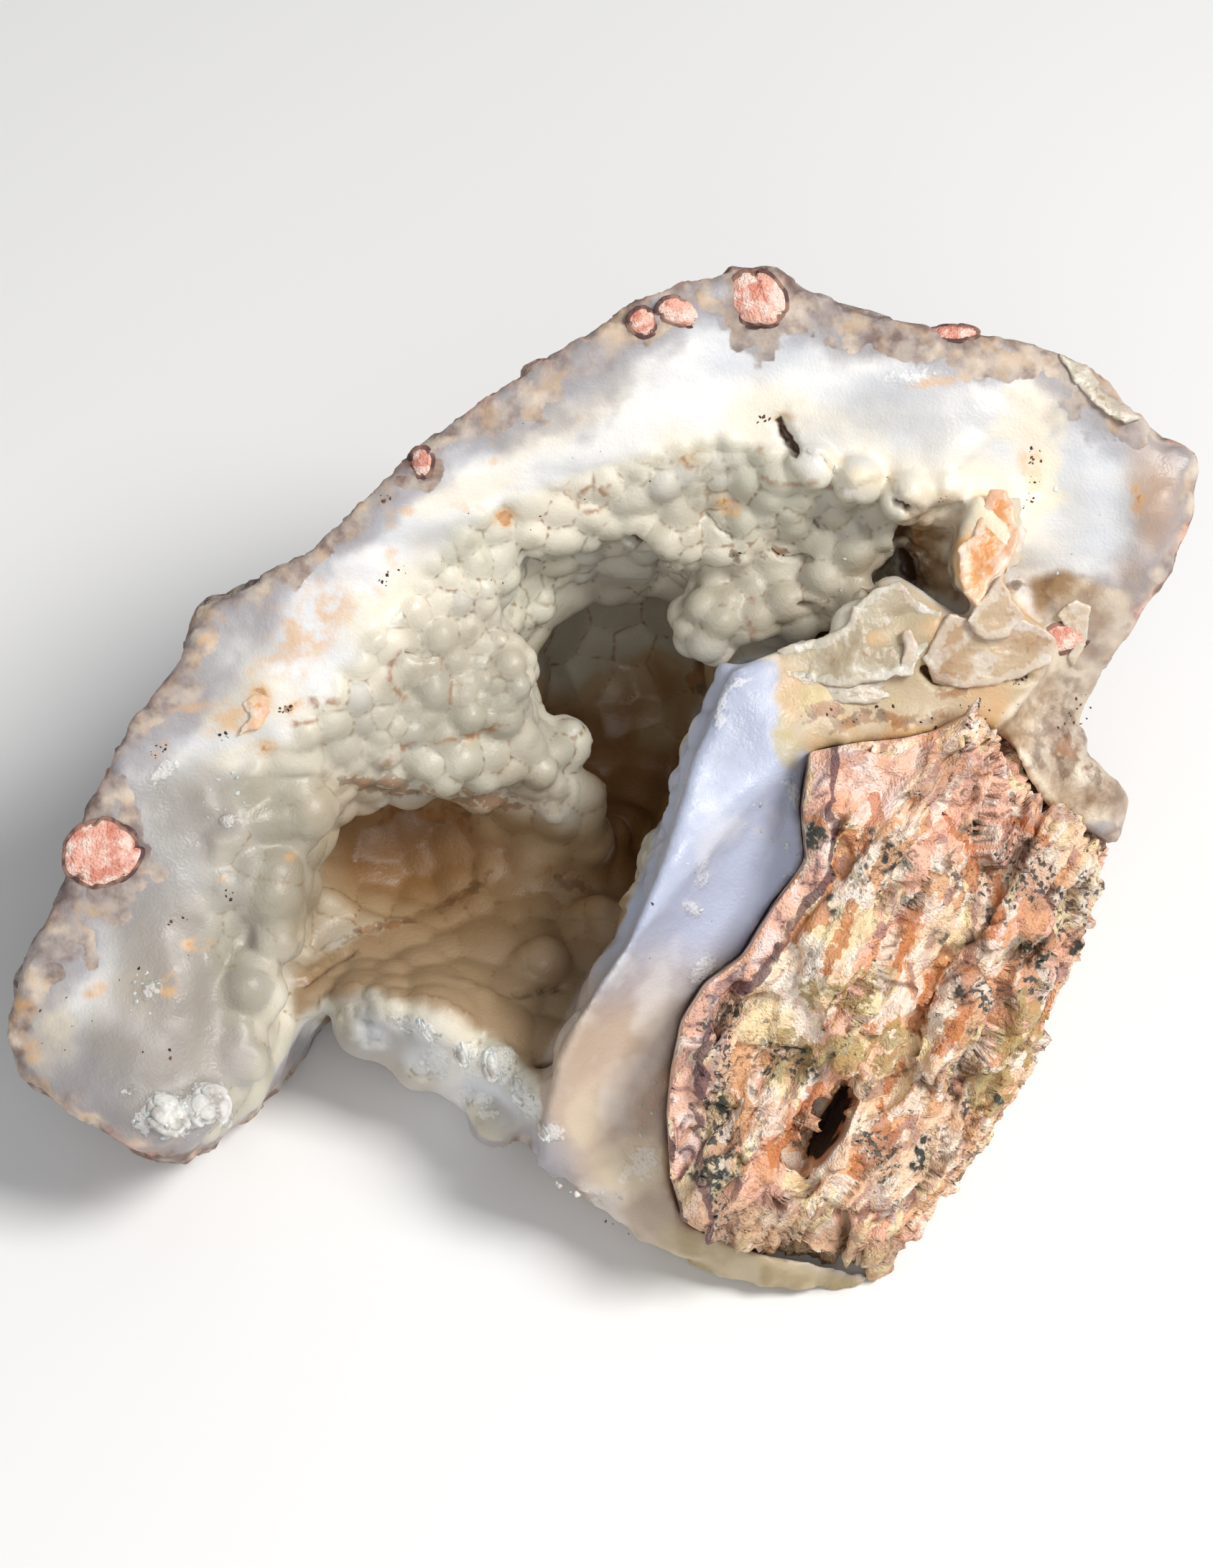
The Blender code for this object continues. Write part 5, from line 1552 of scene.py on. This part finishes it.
RIND_PALE, RIND_PINK = chip_colour(222, 206, 188), chip_colour(230, 172, 154)
HALO, RIND_TAN = chip_colour(158, 152, 154), chip_colour(206, 176, 142)
OLIVE_STONE, RIGHT_BROWN = chip_colour(190, 172, 112), chip_colour(186, 154, 130)
OCHRE_STAIN, RUSTY = chip_colour(222, 172, 112), chip_colour(150, 94, 42)
FROSTED, CRACK_BROWN = chip_colour(244, 243, 240), chip_colour(84, 52, 22)

stone = Finish(
    "chalcedony_stone", IOR=1.54, Subsurface_Weight=0.25, Subsurface_Scale=0.003,
    Subsurface_Radius=(1.0, 0.86, 0.66), Coat_Roughness=0.35,
)
print("chalcedony shader")

# %% The banded rim
wavering = stone.times(stone.less(stone.patches(4.0, 0.3, 0.7), 0.5), 0.14)
from_edge = stone.plus("edge", wavering)
rim = stone.coats(
    stone.layer(stone.ramp(from_edge, 0.14, 0.42), GREY_BLUE, WHITE),
    (stone.ramp(from_edge, 0.50, 0.85), 0.55, CREAM),
    (stone.patches(8.0, 0.46, 0.62, 4.0, (0.4, 1.0, 1.0), (0.0, 0.0, 0.3)), 0.45, VEIL),
    ("blue", 0.75, VEIL),
    ("cream", 0.80, CREAM),
    ("smoky", 0.90, SMOKE),
    ("shaded", 0.80, RIM_SHADE),
    ("brown", 0.85, RIGHT_BROWN),
)

# %% The lining and its domes
centre = stone.times(stone.ramp("dome_ring", 0.60, 0.20), stone.ramp("dome_tone", 0.60, 0.10))
uneven = stone.plus(0.25, stone.times(stone.patches(7.0, 0.35, 0.60), 0.45))
in_crease = stone.times(stone.ramp("crease", 0.30, 0.95), uneven)
# Creases and their stains turn dark brown deeper in the hollow, partly as painted shade.
crease_colour = stone.layer(stone.ramp("deep", 0.0, 0.30), CREASE, DARK_BROWN)
stained = stone.times(stone.ramp("crease", 0.45, 0.95), stone.patches(8.0, 0.50, 0.60))
skin = stone.coats(
    stone.layer(stone.patches(9.0, 0.38, 0.62), LINING, LINING_GREEN),
    (stone.ramp("dome_tone", 0.55, 1.0), 1.0, LINING_GREY),
    (centre, 0.40, DIM),
    # Painted shade: greyer deeper in the hollow, and darker still in the dim recesses.
    (stone.ramp("deep", 0.02, 0.40), 0.85, DIM),
    ("dim", 0.85, DEEP_SHADE),
    # Brown, then dark brown, low and deep in the hollow: partly a stain, partly painted shade.
    (stone.ramp("brown_and_shade", 0.15, 0.60), 1.0, BROWN),
    (stone.ramp("brown_and_shade", 0.60, 1.05), 1.0, DARK_BROWN),
    ("ledge", 0.90, LEDGE_TAN),
    ("smoky", 0.60, SMOKE),
    ("blue", 0.80, VEIL),
    ("shaded", 0.80, LINING_SHADE),
    (in_crease, 1.0, crease_colour),
    (stained, 0.60, stone.layer("deep", RUSTY, DARK_BROWN)),
)

# %% The slab, the crust and the tan wall
slab = stone.coats(
    stone.layer(stone.ramp("beige", 0.0, 0.6), LAVENDER, SLAB_GREY),
    (stone.ramp("beige", 0.5, 1.0), 1.0, BEIGE),
    (stone.patches(6.0, 0.50, 0.66), 0.35, WHITE),
    ("cream", 0.70, CREAM),
    ("shaded", 0.60, SLAB_SHADE),
)
dirty = stone.coats(
    stone.layer(stone.patches(5.0, 0.40, 0.62, 4.0), TAN, TAN_DARK),
    (stone.patches(2.0, 0.50, 0.74, 4.0), 0.5, DIRT),
)
olive = stone.times(stone.ramp("olive", 0.0, 0.9), stone.patches(3.0, 0.25, 0.60))
colour = stone.coats(
    rim,
    ("lining", 1.0, skin),
    ("slab", 1.0, slab),
    ("crust", 1.0, stone.layer(stone.patches(7.0, 0.45, 0.60), CRUST, CRUST_TAN)),
    ("tan", 1.0, dirty),
    ("flap", 1.0, stone.layer(stone.patches(4.0), FLAP, CREAM)),
    (olive, 0.75, OLIVE_STONE),
    # The broken facet at the foot is painted tan: partly its own colour, partly painted shade.
    ("facet", 1.0, stone.layer(stone.patches(5.0), CRUST, FACET_TAN_AND_SHADE)),
)

# %% The rind
inner = stone.plus("lining", stone.plus("slab", "crust"))
inner = stone.plus(inner, stone.times("tan", 0.35))
not_inner = stone.ramp(stone.plus(inner, "facet"), 0.5, 0.1)
halo = stone.larger(stone.ramp(from_edge, 0.36, 0.08), stone.ramp("rind", 0.0, 0.50))
remnants = stone.times(stone.patches(4.0, 0.46, 0.58, 4.0), stone.ramp(from_edge, 0.11, 0.03))
remnants = stone.times(remnants, stone.patches(16.0, 0.42, 0.60, 3.0))
rind = stone.coats(
    stone.layer(stone.patches(1.8, 0.32, 0.70, 4.0), RIND, RIND_DARK),
    (stone.patches(14.0, 0.40, 0.62, 4.0), 0.45, HALO),
    (stone.patches(3.2, 0.44, 0.70, 4.0), 0.8, RIND_PALE),
    (stone.patches(2.6, 0.50, 0.66, 4.0), 0.50, RIND_TAN),
    (remnants, 0.65, RIND_PINK),
    (stone.ramp(from_edge, 0.06, 0.0), stone.patches(4.0, 0.35, 0.60), RIND_EDGE),
)
band = stone.larger(stone.ramp(from_edge, 0.16, 0.05), "outside")
band = stone.times(stone.larger(band, stone.ragged("rind", 2.0, 2.2)), not_inner)
colour = stone.coats(colour, (stone.times(halo, not_inner), 0.80, HALO), (band, 1.0, rind))

# %% Stains, cracks and frost
ochre = stone.times("ochre", stone.patches(1.6, 0.32, 0.62, 4.0))
earth = stone.times("earth", stone.patches(1.2, 0.40, 0.62, 4.0))
dirt_and_shade = stone.plus(0.25, stone.times("dirt_and_shade", 0.55))
colour = stone.coats(
    colour,
    (stone.ragged("frost", 0.6, 2.2), 0.45, FROSTED),
    (ochre, 0.85, OCHRE_STAIN),
    (stone.ramp(ochre, 0.75, 0.95), 0.5, RUSTY),
    ("stain_lines", stone.patches(1.5, 0.40, 0.60), RUSTY),
    (earth, 0.60, DIRT),
    # Dark brown marks: dirt, and painted shade under the shelf and at the feet of the crust plates.
    (stone.ragged("dirt_and_shade", 1.0, 3.0), dirt_and_shade, stone.layer(stone.patches(2.0), RUSTY, DIRT)),
    (stone.ramp("cracks", 0.40, 0.95), 1.0, CRACK_BROWN),
)

# %% Chalcedony gloss and relief
PATCHY = (0.3, 0.7)
GLOSS = {3: 0.38, 4: 0.58}      # least and most roughness, where the patches are 0 and 1

roughness = stone.put("MapRange", {0: stone.patches(2.5, *PATCHY), **GLOSS}).outputs[0]
roughness = stone.plus(roughness, stone.times(band, 0.30))
roughness = stone.plus(roughness, stone.times("frost", 0.12))
unevenness = stone.plus(0.22, stone.times("outside", 1.4))
unevenness = stone.plus(unevenness, stone.times("frost", 0.9))
stone.wire(
    Base_Color=colour, Roughness=roughness, Coat_Weight=stone.times(stone.less(1.0, band), 0.20),
    Normal=stone.bumps(1.1, 0.30, 0.45, 0.6, unevenness),
)
dress(wall, stone)
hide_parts("chalcedony")
print("chalcedony has", len(stone.tree.nodes), "nodes")

# %% [markdown]
# The broken plates are the same stone, thin enough to be clearer. Their rims are frosted by the
# break, and iron has stained some of them tan and one of them orange.

# %% Broken plates
def plate_stone(name, base, patch):
    """Clear stone with patches, specks of rust and a frosted rim."""
    made = Finish(
        name, IOR=1.54, Roughness=0.42, Coat_Weight=0.2, Coat_Roughness=0.3,
        Subsurface_Weight=0.25, Subsurface_Scale=0.002,
    )
    colour = made.coats(
        made.layer(made.patches(4.0, 0.36, 0.68), base, patch),
        (made.patches(2.2, 0.52, 0.66), 0.35, FROSTED),
        (made.patches(1.8, 0.62, 0.72), 0.4, RUSTY),
        (made.ragged("rim", 0.8, 2.4), 0.25, FROSTED),
    )
    made.wire(Base_Color=colour, Normal=made.bumps(1.6, 0.4, 0.3, 0.25))
    return made


GREY_UP_TO, TAN_UP_TO = 0.3, 0.85       # tones of the plates in the list
grey_plate = plate_stone("plate_grey", chip_colour(186, 174, 150), chip_colour(168, 150, 122))
tan_plate = plate_stone("plate_tan", chip_colour(200, 178, 148), chip_colour(182, 152, 120))
orange_plate = plate_stone("plate_orange", chip_colour(236, 182, 124), chip_colour(222, 150, 86))
for made, tone in shards:
    stained_plate = tan_plate if tone < TAN_UP_TO else orange_plate
    dress(made, grey_plate if tone < GREY_UP_TO else stained_plate)
print(len(shards), "plates finished")

# %% Nodules, quartz, crystals and grains
def mottled(name, size, low, high, first, second, **sockets):
    """A finish with one colour in patches on another."""
    made = Finish(name, **sockets)
    made.wire(Base_Color=made.layer(made.patches(size, low, high), first, second))
    return made


NODULE, NODULE_PALE = chip_colour(240, 178, 158), chip_colour(252, 220, 206)
NODULE_RED = chip_colour(214, 126, 104)
salmon = Finish("salmon_nodule", Roughness=0.5, Subsurface_Weight=0.15, Subsurface_Scale=0.001)
salmon.wire(
    Base_Color=salmon.coats(
        salmon.layer(salmon.patches(1.6, 0.42, 0.60), NODULE, NODULE_PALE),
        (salmon.patches(2.2, 0.48, 0.62), 0.8, NODULE_RED),
    ),
    Normal=salmon.bumps(0.9, 0.25, 0.5, 0.6),
)
quartz = mottled(
    "frosted_quartz", 1.8, 0.45, 0.62, chip_colour(224, 222, 218), chip_colour(182, 178, 172),
    IOR=1.55, Roughness=0.38, Subsurface_Weight=0.25, Subsurface_Scale=0.0015,
)
quartz.wire(Normal=quartz.bumps(0.9, 0.3, 0.3, 0.2))
black = mottled(
    "dark_grain", 1.5, 0.42, 0.6, chip_colour(44, 28, 20), chip_colour(110, 66, 28), Roughness=0.7,
)
ring = mottled(
    "nodule_ring", 1.5, 0.42, 0.6, chip_colour(88, 58, 56), chip_colour(150, 112, 96),
    Roughness=0.7,
)
for pieces, finish in ((nodules, salmon), (rings, ring), ([*quartz_lumps, crystals], quartz)):
    for piece in pieces:
        dress(piece, finish)
dress(grains, black)
print("small pieces finished")

# %% [markdown]
# ## Platy rhyolite
#
# Each plate, sliver and chip kept a random tone, so neighbours differ, as fresh and weathered faces
# do. Streaks run along the plates and dark minerals speckle them. The gaps between them are painted
# umber, which is painted shade, and the inside of a slit is painted near black, a painted shadow.
# The band along the wall is baked smooth and salmon pink, with a dark line on each side. The bottom
# facet is painted tan, partly its own colour and partly painted shade.

# %% Rhyolite colours
PEACH, BISCUIT = chip_colour(250, 214, 182), chip_colour(248, 226, 182)
PALE, SALMON = chip_colour(254, 242, 228), chip_colour(248, 196, 172)
ORANGE, GAP_SHADE = chip_colour(222, 156, 98), chip_colour(112, 72, 46)
CHARCOAL, OLIVE = chip_colour(64, 64, 56), chip_colour(170, 148, 84)
MAUVE, PURPLE = chip_colour(168, 128, 126), chip_colour(108, 76, 82)
ROSE, SLATE = chip_colour(254, 226, 216), chip_colour(140, 132, 132)
STREAK_BROWN, RUST_RED = chip_colour(176, 122, 88), chip_colour(196, 110, 44)
CUT_TAN_AND_SHADE, MOSS = chip_colour(190, 158, 122), chip_colour(106, 104, 90)
SLIT_SHADOW = chip_colour(40, 22, 10)
RUN_TURN = (0.0, 0.0, -PLATE_RUN)
ALONG = (0.3, 1.0, 1.0)

rhyolite = Finish("rhyolite_rock", Roughness=0.72, Subsurface_Weight=0.05, Subsurface_Scale=0.001)
print("rhyolite shader")

# %% Plates, slivers and stains
vein_colour = rhyolite.layer(rhyolite.patches(2.6, 0.46, 0.58), SALMON, ROSE)
colour = rhyolite.coats(
    rhyolite.layer(rhyolite.ramp("plate_tone", 0.35, 0.65), PEACH, SALMON),
    (rhyolite.ramp("sliver_tone", 0.66, 0.74), 1.0, BISCUIT),
    (rhyolite.ramp("sliver_tone", 0.26, 0.18), 0.60, ORANGE),
    (rhyolite.ramp("chip_tone", 0.70, 0.80), 0.8, PALE),
    (rhyolite.ramp("chip_tone", 0.16, 0.08), 0.7, MAUVE),
    (rhyolite.ragged("cream", 2.0), 0.80, rhyolite.layer(rhyolite.patches(5.0), BISCUIT, PALE)),
    (rhyolite.ragged("pale", 1.5, 2.4), 0.65, PALE),
    (rhyolite.ragged("pink", 2.0), 0.90, rhyolite.layer(rhyolite.patches(4.0), ROSE, SALMON)),
    (rhyolite.ragged("mauve", 1.5, 2.0), 0.50, MAUVE),
    (rhyolite.ragged("olive", 1.0, 3.0), 0.75, OLIVE),
    (rhyolite.patches(2.0, 0.54, 0.62, 4.0, ALONG, RUN_TURN), 0.40, ORANGE),
    (rhyolite.patches(1.1, 0.50, 0.66, 4.0, ALONG, RUN_TURN), 0.45, STREAK_BROWN),
    (rhyolite.ragged("rust", 1.0, 3.0), 0.70, RUST_RED),
    ("vein", 1.0, vein_colour),
    ("vein_cracks", 1.0, PURPLE),
    # The bottom facet of the rock is painted tan: partly its own colour, partly painted shade.
    ("cut", 0.6, CUT_TAN_AND_SHADE),
)

# %% Dark minerals, and painted shade in the gaps and the slit
scattered = rhyolite.times(rhyolite.patches(7.0, 0.56, 0.64), 0.6)
spread = rhyolite.plus(scattered, rhyolite.times("speckled", 1.6))
halo = rhyolite.times("dark", rhyolite.patches(1.0, 0.30, 0.60, 4.0))
line = rhyolite.times(rhyolite.ragged("outline", 1.5, 1.6), rhyolite.patches(3.0, 0.34, 0.50))
colour = rhyolite.coats(
    colour,
    (rhyolite.patches(0.7, 0.54, 0.60, 4.0), spread, CHARCOAL),
    ("speckled", 0.30, SLATE),
    (halo, 0.75, MOSS),
    (rhyolite.ramp(halo, 0.45, 0.85), 1.0, CHARCOAL),
    # Painted shade in the gaps between the slivers.
    (rhyolite.ramp("gaps", 0.40, 0.95), 0.75, GAP_SHADE),
    (line, 0.85, PURPLE),
    # The slit is only painted: orange at its edge, and near black inside as a painted shadow.
    (rhyolite.ramp("slit", 0.05, 0.30), 0.7, ORANGE),
    (rhyolite.ramp("slit", 0.35, 0.60), 1.0, SLIT_SHADOW),
)
ROCK_GLOSS = {3: 0.50, 4: 0.85}
roughness = rhyolite.put("MapRange", {0: rhyolite.patches(2.0, *PATCHY), **ROCK_GLOSS}).outputs[0]
rhyolite.wire(Base_Color=colour, Roughness=roughness, Normal=rhyolite.bumps(0.8, 0.25, 0.5, 0.6))
dress(rock, rhyolite)
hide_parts("rhyolite_matrix")
print("rhyolite has", len(rhyolite.tree.nodes), "nodes")
